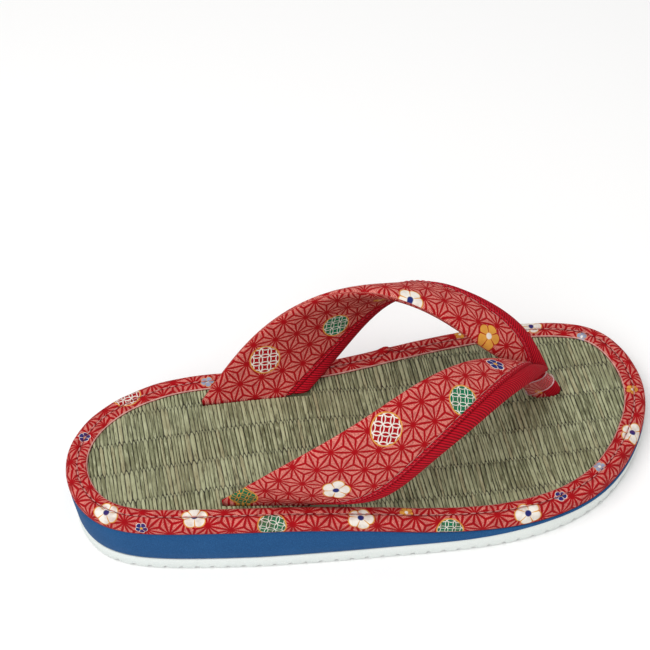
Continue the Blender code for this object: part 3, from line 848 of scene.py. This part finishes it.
def mat():
    """The woven mat: each band of reeds points into the gaps of the next one at a warp row."""
    inset = BINDING_BODY + GAP
    stations = np.append(np.arange(inset, LENGTH - inset, REED_WIDTH / 5), LENGTH - inset)
    sides = sides_at(np.linspace(0, LENGTH, 2000), inset)
    limits = [np.interp(stations, side[:, 0], side[:, 1])[:, None] for side in sides]
    rows = list(np.arange(-0.048, 0.0481, 0.0030))
    for k in range(-3, 4):
        rows += [WARP_START + k * WARP_PITCH + step for step in REED_POINT * np.linspace(-1.1, 1.1, 9)]
    rows = np.array(sorted(rows))
    x = np.repeat(stations[:, None], len(rows), axis=1)
    y = np.clip(rows[None, :], *limits)
    ridge = np.zeros_like(x)
    for number, band, off, half in reed_parts(x, y):
        share = np.abs(off) / np.maximum(half, 1e-6)
        tall = np.minimum(1.0, half / 0.22)
        ridge = np.maximum(ridge, np.sqrt(np.maximum(0.0, 1 - share**2)) * tall)

    def spread_noise(along, across, level):
        """Smooth noise over the grid of points."""
        lines = [[Vector((a * along, b * across, level)) for b in rows] for a in stations]
        return np.array([[noise.noise(spot) for spot in line] for line in lines])

    height = footbed(x) - REED_DEPTH * (1 - ridge) + 0.00016 * spread_noise(420, 50, 7.5)
    sway = 0.0007 * spread_noise(60, 28, 0.5) + 0.0011 * spread_noise(230, 16, 3.5)
    points = np.stack([x + sway - LENGTH / 2, y, height], axis=2)
    builder = sheet(points, np.stack([x, y], axis=2))
    for middle, along, long, wide in mat_openings():
        cut_opening(builder, middle, along, long, wide)
    rim = [edge for edge in builder.edges if edge.is_boundary]
    walls = bmesh.ops.extrude_edge_only(builder, edges=rim)["geom"]
    for vert in walls:
        if isinstance(vert, bmesh.types.BMVert):
            vert.co.z = footbed(vert.co.x + LENGTH / 2) - MAT_THICKNESS
    lower = [edge for edge in builder.edges if edge.is_boundary]
    bmesh.ops.triangle_fill(builder, edges=lower, use_beauty=True)
    bmesh.ops.recalc_face_normals(builder, faces=builder.faces)
    return finish_piece("rush_mat_woven", builder, rush(), ["rush_mat"], 80)


def mat_openings():
    """Middle, direction, length and width of the two strap slots and the post's hole."""
    heel, chord, width, _, half, _ = RUN
    found = []
    for k in (0, -1):
        middle = heel[k] + chord[k] * width[k] / 2
        found.append((middle[:2], unit(chord[k][:2]), width[k] / 2 + GAP, half[k] + 2 * GAP))
    long = POST_LENGTH * post_length(0.0) / 2
    wide = POST_THICKNESS * post_thickness(0.0) / 2
    for squeeze in (1.0, 0.8, 0.55):
        shrink = math.sqrt(1 - squeeze**2 * 0.98)
        room = (long * squeeze + 2 * GAP, wide * (0.3 + shrink) + GAP)
        found.append((np.array(POST), np.array((1.0, 0.0)), *room))
    return found


def cut_opening(builder, middle, along, long, wide):
    """Cuts a straight-sided opening out of the sheet of reeds."""
    centre = Vector((middle[0] - LENGTH / 2, middle[1], 0.0))
    forward = Vector((along[0], along[1], 0.0))
    side = Vector((-along[1], along[0], 0.0))

    def faces_within(room):
        box = (centre, forward, side, long + room, wide + room)
        return [face for face in builder.faces if within(face.calc_center_median(), *box)]

    for direction, reach in ((forward, long), (-forward, long), (side, wide), (-side, wide)):
        near = faces_within(0.002)
        edges = {edge for face in near for edge in face.edges}
        verts = {vert for face in near for vert in face.verts}
        parts = near + list(edges) + list(verts)
        plane = {"plane_co": centre + direction * reach, "plane_no": direction}
        bmesh.ops.bisect_plane(builder, geom=parts, dist=1e-7, **plane)
    bmesh.ops.delete(builder, geom=faces_within(0.0), context="FACES")


def within(point, centre, forward, side, long, wide):
    off = point - centre
    return abs(off.dot(forward)) < long and abs(off.dot(side)) < wide


# Edge binding


def binding_section():
    """The binding's cross-section from its lower edge over both pads to the mat: inset and height."""
    drop = MAT_THICKNESS + GAP + BOARD_THICKNESS
    crown = BINDING_CROWN
    return [
        (0.0006, -drop), (0.0002, -drop * 0.96), (0.0, -drop * 0.75), (-0.0001, -drop * 0.4),
        (0.0001, -drop * 0.1),
        (0.0006, crown * 0.34), (0.0015, crown * 0.8), (0.0026, crown * 1.04), (0.0036, crown * 0.98),
        (SEAM_INSET - 0.0005, crown * 0.72), (SEAM_INSET - 0.0001, crown * 0.40),
        (SEAM_INSET, crown * 0.36), (SEAM_INSET + 0.0001, crown * 0.40),
        (SEAM_INSET + 0.0005, crown * 0.70), (0.0060, crown * 0.92), (0.0070, crown * 0.90),
        (0.0079, crown * 0.66), (FOLD_INSET, crown * 0.34), (BINDING_WIDTH, GAP * 0.6),
        (0.0084, 0.0), (BINDING_BODY + 0.0010, 0.0), (BINDING_BODY, -0.0004), (BINDING_BODY, -drop),
        (0.0006, -drop),
    ]


# Motifs on the edge: kind, place along the edge from the heel and across from its lower side, size, turn
RIM_MOTIFS = [
    ("green medallion", 0.0957, 0.0044, 0.0052, 0.3),
    ("green medallion", 0.1644, 0.0020, 0.0050, 0.1),
    ("pale blossom", 0.2370, 0.0118, 0.0030, 0.4),
    ("pale blossom", 0.3336, 0.0135, 0.0032, 0.2),
    ("gold blossom", 0.3897, 0.0080, 0.0026, 0.5),
    ("white blossom", 0.0300, 0.0078, 0.0058, 0.3),
    ("navy blossom", 0.0455, 0.0040, 0.0026, 0.2),
    ("white blossom", 0.0660, 0.0095, 0.0056, 0.9),
    ("white blossom", 0.1300, 0.0075, 0.0056, 0.1),
    ("gold blossom", 0.1480, 0.0115, 0.0030, 0.5),
    ("white blossom", 0.1960, 0.0060, 0.0060, 0.6),
    ("navy blossom", 0.2120, 0.0095, 0.0030, 0.7),
    ("white blossom", 0.2620, 0.0075, 0.0058, 0.1),
    ("gold blossom", 0.2880, 0.0110, 0.0032, 0.5),
    ("white blossom", 0.3580, 0.0085, 0.0050, 0.6),
    ("white blossom", 0.4660, 0.0075, 0.0056, 0.2),
    ("pale blossom", 0.5000, 0.0110, 0.0032, 0.8),
    ("red medallion", 0.5350, 0.0070, 0.0056, 0.3),
    ("navy blossom", 0.5640, 0.0100, 0.0030, 0.4),
    ("gold blossom", 0.5900, 0.0070, 0.0042, 0.8),
]


# Place along the edge from the heel of the small fold in its cloth
WRINKLE = 0.4225


def binding():
    """Padded printed cotton round the edge, puckered along its row of stitches."""
    columns = 720
    plan, outward, length = plan_ring(columns + 1)
    section = np.array(binding_section())
    across = along_line(section)
    points = np.zeros((columns + 1, len(section), 3))
    cloth = np.zeros((columns + 1, len(section), 2))
    for j, (inset, rise) in enumerate(section):
        place = plan - outward * inset
        pucker = 0.0
        if rise > 0:
            near = math.exp(-(((inset - SEAM_INSET) / 0.0012) ** 2))
            pucker = 0.00016 * near * np.cos(2 * math.pi * length / RIM_STITCH)
            wrinkle = np.exp(-(((length - WRINKLE + (inset - 0.004) * 0.5) / 0.0016) ** 2))
            pucker = pucker + 0.0024 * wrinkle * math.exp(-(((inset - 0.0036) / 0.0030) ** 2))
            uneven = [noise.noise(Vector((s * 95, inset * 260, 3.0))) for s in length]
            pucker = pucker + 0.00022 * np.array(uneven)
        points[:, j, 0] = place[:, 0] - LENGTH / 2
        points[:, j, 1] = place[:, 1]
        points[:, j, 2] = footbed(place[:, 0]) + rise + pucker
        cloth[:, j, 0] = length
        cloth[:, j, 1] = across[j]
    points[-1] = points[0]
    builder = sheet(points, cloth)
    insets = [row[0] for row in section]
    fold, crease = (across[insets.index(inset)] for inset in (FOLD_INSET, SEAM_INSET))
    # Painted light on the binding: a painted highlight along the fold of its inner pad, painted shade in
    # the crease at the stitch line, and a painted shadow along its lower edge against the foam
    lines = [
        (fold, 0.00022, colour(226, 190, 180), 0.75),
        (crease, 0.0003, colour(96, 6, 16), 0.85),
        (0.0004, 0.0005, colour(120, 6, 18), 0.7),
    ]
    # The binding's larger mottled share is partly painted shade
    print_cloth = printed_cotton("printed_cotton", 0.26, RIM_MOTIFS, lines, line=0.00105, wear_and_shade=0.42)
    item = finish_piece("rim_binding_padded", builder, print_cloth, ["rim_binding"])
    return item


# Straps

STATIONS = 96


def strap_edge(rows, side):
    reach = JOINT_X - SLOT_REAR
    slope = (POST[1] - SLOT_MIDDLE[1]) / (JOINT_X - SLOT_MIDDLE[0])
    points = []
    for along, lateral, medial, rise in rows:
        x = SLOT_REAR + along * reach
        spread = lateral if side < 0 else medial
        y = SLOT_MIDDLE[1] + slope * (x - SLOT_MIDDLE[0]) + side * spread * SLOT_SPREAD / 2
        points.append((x, y, footbed(x) + rise * STRAP_RISE))
    return spline(points, STATIONS + 1)


def strap_run():
    """Sections from slot to slot over the joint: heel edge, chord, width, normal, half thickness, trim."""
    heels, toes, normals = [], [], []
    shares = np.linspace(0, 1, STATIONS + 1)
    for side in (-1, 1):
        heel = strap_edge(HEEL_EDGE, side)
        toe = strap_edge(TOE_EDGE, side)
        run = unit(np.gradient((heel + toe) / 2, axis=0))
        heels.append(heel)
        toes.append(toe)
        normals.append(unit(np.cross(toe - heel, run) * -side))
    joint = unit(normals[0][-1] + normals[1][-1])
    turn = step_up(shares, 0.75, 1.0)[:, None]
    upright = np.clip(shares / 0.15, 0, 1)
    for k in (0, 1):
        own = normals[k] * (1 - turn) + joint * turn
        own[:, 2] *= upright
        normals[k] = unit(own)
    half = padding_share(shares) * STRAP_THICKNESS / 2

    def joined(outer, inner):
        return np.concatenate([outer, inner[-2::-1]])

    heel = joined(*heels)
    toe = joined(*toes)
    width = np.linalg.norm(toe - heel, axis=1)
    along = unit(np.gradient((heel + toe) / 2, axis=0))
    slant = np.linalg.norm(np.cross(toe - heel, along), axis=1) / width
    slant[STATIONS] = slant[STATIONS - 2]
    return heel, unit(toe - heel), width, joined(*normals), joined(half, half), TRIM_WIDTH / slant


RUN = strap_run()


def swell(share):
    """Fullness of the padding across the band: full in the middle, round at both edges."""
    return np.sqrt(np.maximum(0.0, 1 - np.abs(share) ** 3))


def strap_surface(across, face, inset):
    """Points along the whole strap at a distance in from the heel edge on one face."""
    heel, chord, width, normal, half, _ = RUN
    middle = width / 2
    share = np.where(across < middle, (middle - across) / middle, (across - middle) / (middle - inset))
    out = (half - inset) * swell(np.minimum(share, 1.0)) * face
    point = heel + chord * across[:, None] + normal * out[:, None]
    point[:, 0] -= LENGTH / 2
    return point


# Motifs on the straps: kind, place on the laid-out cloth, size, turn
STRAP_MOTIFS = [
    ("red medallion", -0.3116, -0.0091, 0.0059, 0.30),
    ("green medallion", -0.2897, 0.0162, 0.0055, 0.30),
    ("green ball", -0.3700, -0.0349, 0.0054, 0.3),
    ("white blossom", -0.3423, -0.0108, 0.0058, 0.4),
    ("navy blossom", -0.2648, 0.0290, 0.0040, 0.3),
    ("red medallion", 0.3159, 0.3284, 0.0059, 0.30),
    ("green medallion", 0.2949, 0.3036, 0.0055, 0.30),
    ("gold blossom", 0.2742, 0.2929, 0.0034, 0.5),
    ("gold blossom", 0.3084, 0.0143, 0.0056, 0.0),
    ("white blossom", 0.3029, -0.0206, 0.0056, 0.9),
    ("green medallion", 0.3160, -0.0420, 0.0055, 0.6),
    ("navy blossom", 0.3240, -0.0250, 0.0034, 0.2),
    ("red medallion", 0.3240, -0.0780, 0.0059, 0.3),
    ("white blossom", -0.2600, 0.4050, 0.0056, 0.5),
    ("green medallion", -0.2800, 0.4480, 0.0055, 0.5),
    ("red medallion", -0.2490, 0.3720, 0.0059, 0.4),
]


def far_corner(first, second, to_first, to_second):
    """The point ahead of two flat points, at a known distance from each."""
    gap = np.linalg.norm(second - first)
    across = (second - first) / gap
    share = (gap**2 + to_first**2 - to_second**2) / (2 * gap)
    ahead = math.sqrt(max(0.0, to_first**2 - share**2))
    return first + across * share + np.array((across[1], -across[0])) * ahead


def apart(first, second):
    return np.linalg.norm(second - first)


def unrolled(heel, toe):
    """Both edges of a band laid flat with their true lengths, from its first station."""
    flat = [(np.zeros(2), np.array((0.0, apart(heel[0], toe[0]))))]
    for k in range(1, len(heel)):
        last = flat[-1]
        lower = far_corner(*last, apart(heel[k], heel[k - 1]), apart(heel[k], toe[k - 1]))
        upper = far_corner(lower, last[1], apart(toe[k], heel[k]), apart(toe[k], toe[k - 1]))
        flat.append((lower, upper))
    return np.array(flat)


# How the print lies on the laid-out cloth of the outer and inner band: turn, and place of the joint,
# for the face seen from above and for the one towards the foot
BAND_CHARTS = [
    [(-0.384, (-0.2401, 0.0446)), (-0.384, (-0.2401, 0.3400))],
    [(-0.611, (0.3101, 0.0345)), (-0.209, (0.2197, 0.2497))],
]


def flat_bands():
    """Flat places of both edges of the whole strap, for the upper and the lower face."""
    heel, chord, width, *_ = RUN
    toe = heel + chord * width[:, None]
    outer = unrolled(heel[STATIONS::-1], toe[STATIONS::-1]) * (-1.0, 1.0)
    inner = unrolled(heel[STATIONS:], toe[STATIONS:])
    faces = []
    for face in (0, 1):
        laid = []
        for band, charts in zip((outer, inner), BAND_CHARTS):
            turn, start = charts[face]
            u, v = band[..., 0], band[..., 1] * (1 - 2 * face)
            turned_u = u * math.cos(turn) - v * math.sin(turn)
            turned_v = u * math.sin(turn) + v * math.cos(turn)
            laid.append(np.stack([turned_u + start[0], turned_v + start[1]], axis=-1))
        faces.append(np.concatenate([laid[0][::-1], laid[1][1:]]))
    return faces


FLAT = flat_bands()


def band_cloth(across, face):
    """The place on the printed cloth, laid flat, of points at a distance in from the heel edge."""
    flat = FLAT[0 if face > 0 else 1]
    return flat[:, 0] + (flat[:, 1] - flat[:, 0]) * (across / RUN[2])[:, None]


def tape_cloth(across):
    """The ribbed band's own lengths: along the toe edge from the joint, and square across it."""
    heel, chord, width, *_ = RUN
    toe = heel + chord * width[:, None]
    along = along_line(toe)
    lean = (chord * unit(np.gradient(toe, axis=0))).sum(axis=1)
    back = -np.abs(across - width)
    square = (across - width) * np.sqrt(1 - lean**2)
    return np.stack([along - along[STATIONS] + back * lean, square], axis=1)


def strap_bands():
    """The printed part of both padded bands, from the twill's seam round the heel edge and back."""
    _, _, width, normal, _, trim = RUN
    seam = width - trim + 0.0001
    shares = (1.0, 0.97, 0.9, 0.8, 0.68, 0.55, 0.42, 0.3, 0.2, 0.12, 0.06, 0.025, 0.006)
    outer = [seam * share for share in shares]
    rows = [(across, 1.0) for across in outer] + [(np.zeros_like(seam), 1.0)]
    rows += [(across, -1.0) for across in outer[::-1]]
    points = []
    cloth = []
    joint = np.exp(-((np.arange(len(width)) - STATIONS) / 1.3) ** 2)[:, None]
    for across, face in rows:
        place = strap_surface(across, face, 0.0)
        place = place - normal * joint * face * 0.0009
        points.append(place)
        cloth.append(band_cloth(across, face))
    close = strap_surface(seam, 0.0, 0.0)
    points = [close] + points + [close]
    cloth = [cloth[0]] + cloth + [cloth[-1]]
    points = np.stack(points, axis=1)
    cloth = np.stack(cloth, axis=1)
    drop = np.array([0, 0, END_DEPTH])
    points = np.concatenate([points[:1] - drop, points, points[-1:] - drop])
    cloth = np.concatenate([cloth[:1], cloth, cloth[-1:]])
    builder = sheet(points, cloth)
    close_ends(builder)
    print_cloth = printed_cotton("strap_cotton", 0.0, STRAP_MOTIFS)
    item = finish_piece("strap_bands_printed", builder, print_cloth, ["straps"])
    return item


def strap_twill():
    """The ribbed band folded over the toe edge, with its stitched tape beside the print."""
    _, _, width, normal, _, trim = RUN
    start = width - trim
    shares = [0.0, 0.02, 0.08, 0.16, 0.24, 0.27, 0.30, 0.36, 0.5, 0.64, 0.76, 0.86, 0.93, 0.98]
    lift = [
        -0.0006, 0.0003, 0.00045, 0.00045, 0.0003, -0.0004, -0.0004,
        0.0002, 0.0005, 0.0006, 0.0005, 0.0004, 0.0002, 0.0001,
    ]
    points = [strap_surface(start, 0.0, 0.0)]
    cloth = [tape_cloth(start)]
    for share, raised in zip(shares, lift):
        across = start + (width - start) * share
        points.append(strap_surface(across, 1.0, 0.0) + normal * raised)
        cloth.append(tape_cloth(across))
    points.append(strap_surface(width, 0.0, 0.0))
    cloth.append(tape_cloth(width))
    for share, raised in zip(shares[::-1], lift[::-1]):
        across = start + (width - start) * share
        points.append(strap_surface(across, -1.0, 0.0) - normal * raised * 0.7)
        cloth.append(tape_cloth(2 * width - across))
    points.append(points[0])
    cloth.append(tape_cloth(2 * width - start))
    points = np.stack(points, axis=1)
    cloth = np.stack(cloth, axis=1)
    builder = sheet(points, cloth)
    close_ends(builder)
    item = finish_piece("strap_twill_band", builder, red_twill(), ["strap_trim"])
    return item


# Toe post


def joint_underside(x):
    heel, chord, _, normal, half, _ = RUN
    k = STATIONS
    drop = half[k] / normal[k][2]
    return heel[k][2] + (x - heel[k][0]) * chord[k][2] / chord[k][0] - drop - GAP


# Free height of the post between the mat and the joint
POST_FREE = joint_underside(POST[0] - POST_LEAN) - footbed(POST[0])


def post_ring(height, tilt=0.0, grow=0.0):
    """A ring round the post at a height above the mat, higher by its tilt at the front."""
    turns = np.linspace(0, 2 * math.pi, RING_POINTS)
    rise = height + tilt * POST_LENGTH / 2 * np.cos(turns)
    share = rise / POST_FREE
    half_length = POST_LENGTH * post_length(share) / 2 + grow
    half_thickness = POST_THICKNESS * post_thickness(share) / 2 + grow
    round_x = np.sign(np.cos(turns)) * np.abs(np.cos(turns)) ** 0.8
    round_y = np.sign(np.sin(turns)) * np.abs(np.sin(turns)) ** 0.8
    x = POST[0] - POST_LEAN * post_back(share) + half_length * round_x
    y = POST[1] + half_thickness * round_y
    ring = np.column_stack([x - LENGTH / 2, y, footbed(POST[0]) + rise])
    ring[-1] = ring[0]
    return ring


def post():
    """The folded fabric post, with the ribbed band along its front."""
    heights = np.linspace(-0.003, POST_FREE, 26)
    rings = [post_ring(height) for height in heights]
    for ring in rings:
        ring[:, 2] = np.minimum(ring[:, 2], joint_underside(ring[:, 0] + LENGTH / 2))
    rings[-1][:, 2] = joint_underside(rings[-1][:, 0] + LENGTH / 2)
    points = np.stack(rings, axis=0)
    around = along_line(points[10])
    cloth = np.zeros((*points.shape[:2], 2))
    cloth[..., 0] = heights[:, None]
    cloth[..., 1] = np.where(around > around[-1] / 2, around - around[-1], around)[None, :]
    builder = sheet(points, cloth)
    close_ends(builder)
    places = ((0.0030, -0.0103), (0.0080, 0.0103))
    motifs = [("gold blossom", *place, 0.0017, 0.0) for place in places]
    cloth_paint = printed_cotton("post_cotton", 0.2, motifs, band=0.0082)
    return finish_piece("toe_post_folded", builder, cloth_paint, ["toe_post"])


def sleeve():
    """The clear sleeve round the post, high at the front."""
    low = SLEEVE_TILT * POST_LENGTH / 2 + 2 * GAP
    slack = SLEEVE_TILT - SLEEVE_TOP_TILT
    steps = np.array([0.0, 0.04, 0.2, 0.4, 0.6, 0.8, 0.96, 1.0])
    around = np.linspace(0, SLEEVE_ROUND, RING_POINTS)
    points, cloth = [], []
    for grow, order, rounding in ((GAP + SLEEVE_WALL, steps, -1), (GAP, steps[::-1], 1)):
        for s in order:
            inset = 0.00018 * rounding if s in (0.0, 1.0) else 0.0
            points.append(post_ring(low + SLEEVE_HEIGHT * s, SLEEVE_TILT - slack * s, grow + inset))
            cloth.append(np.column_stack([around, np.full(RING_POINTS, s)]))
    points.append(points[0])
    cloth.append(cloth[0])
    builder = sheet(np.stack(points), np.stack(cloth))
    return finish_piece("toe_sleeve_vinyl", builder, clear_vinyl(), ["toe_sleeve"], 40)


# Stitches


def stitch_row(name, places, headings, length, thickness, material, slot):
    """A row of short stitches, each a small rounded spindle along its heading."""
    builder = bmesh.new()
    for place, heading in zip(places, headings):
        turn = Vector(heading).to_track_quat("X", "Z").to_matrix().to_4x4()
        size = Matrix.Diagonal((length / 2, thickness / 2, thickness / 2, 1.0))
        spot = Matrix.Translation(Vector(place)) @ turn @ size
        spindle = spot @ Matrix.Rotation(math.pi / 2, 4, "Y")
        bmesh.ops.create_uvsphere(builder, u_segments=6, v_segments=5, radius=1.0, matrix=spindle)
    return finish_piece(name, builder, material, [])


def evenly(points, pitch):
    """Points and directions at an even pitch along a line."""
    length = along_line(points)
    stops = np.arange(pitch / 2, length[-1], pitch)
    found = np.column_stack([np.interp(stops, length, points[:, k]) for k in range(3)])
    ahead = np.column_stack([np.interp(stops + pitch / 4, length, points[:, k]) for k in range(3)])
    return found, unit(ahead - found)


def stitches():
    plan, outward, _ = plan_ring(1441)
    line = plan - outward * SEAM_INSET
    height = footbed(line[:, 0]) + BINDING_CROWN * 0.36 + 0.0004
    line = np.column_stack([line[:, 0] - LENGTH / 2, line[:, 1], height])
    pale = thread("pale_thread", colour(212, 142, 134))
    stitch_row("rim_stitches", *evenly(line, RIM_STITCH), 0.0022, 0.0006, pale, "printed_cotton")
    _, _, width, normal, _, trim = RUN
    start = width - trim
    across = start + (width - start) * 0.13
    upper = strap_surface(across, 1.0, 0.0) + normal * 0.00050
    under = strap_surface(across, -1.0, 0.0) - normal * 0.00036
    edge = (strap_surface(start - 0.0002, 1.0, 0.0) + normal * 0.0002)[8:-8]
    stitch_row("print_edge_threads", *evenly(edge, 0.0052), 0.0042, 0.00026, pale, "strap_cotton")
    red = thread("red_thread", colour(206, 40, 56))
    for name, line in (("strap_stitches", upper), ("strap_stitches_under", under)):
        stitch_row(name, *evenly(line[6:-6], 0.0024), 0.0016, 0.00036, red, "red_twill")


# Stage, light and camera


def camera():
    """The photograph's camera, found from the sole's outline in it."""
    psi, eps, roll = math.radians(8.6343), math.radians(44.8487), math.radians(-2.8569)
    distance, focal = 0.836805, 2068.303
    middle = (363.598, 436.4166)
    target = Vector((0.0, 0.00165, 0.015))
    back = Vector((-math.sin(psi) * math.cos(eps), -math.cos(psi) * math.cos(eps), math.sin(eps)))
    right = Vector((math.cos(psi), -math.sin(psi), 0.0))
    up = back.cross(right)
    across = right * math.cos(roll) + up * math.sin(roll)
    upward = up * math.cos(roll) - right * math.sin(roll)
    place = target + back * distance
    place -= across * (middle[0] - PHOTO_SIZE / 2) * distance / focal
    place += upward * (middle[1] - PHOTO_SIZE / 2) * distance / focal
    data = bpy.data.cameras.new("camera")
    data.sensor_width = 36.0
    data.lens = focal / PHOTO_SIZE * data.sensor_width
    item = new_object("camera", data)
    turn = Matrix((across, upward, back)).transposed().to_4x4()
    item.matrix_world = Matrix.Translation(place) @ turn
    bpy.context.scene.camera = item


def lamp(name, place, size, power, warmth):
    data = bpy.data.lights.new(name, "AREA")
    data.shape = "DISK"
    data.size = size
    data.energy = power
    data.color = warmth
    item = new_object(name, data)
    item.location = place
    item.rotation_mode = "QUATERNION"
    item.rotation_quaternion = Vector(place).to_track_quat("Z", "Y")


def stage():
    """A plain pale floor and soft light from above."""
    builder = bmesh.new()
    bmesh.ops.create_grid(builder, x_segments=1, y_segments=1, size=3.0)
    mesh = bpy.data.meshes.new("floor")
    builder.to_mesh(mesh)
    builder.free()
    material, _, inputs = new_material("floor", 0.9)
    inputs["Base Color"].default_value = (0.96, 0.96, 0.96, 1.0)
    mesh.materials.append(material)
    floor = new_object("floor", mesh)
    world = bpy.data.worlds.new("studio")
    world.use_nodes = True
    sky = world.node_tree.nodes["Background"].inputs
    sky["Color"].default_value = (1.0, 1.0, 1.0, 1.0)
    sky["Strength"].default_value = 0.60
    bpy.context.scene.world = world
    bpy.context.scene.view_settings.view_transform = "Standard"
    lamp("key", (-0.25, -0.1, 1.0), 0.9, 5.3, (1.0, 0.99, 0.97))
    lamp("fill", (-0.45, -0.8, 0.75), 0.8, 3.5, (1.0, 1.0, 1.0))


def main():
    camera()
    stage()
    sole()
    mat()
    binding()
    strap_bands()
    strap_twill()
    post()
    sleeve()
    stitches()
    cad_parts["insole_board"].material_slots[0].material = board()


main()
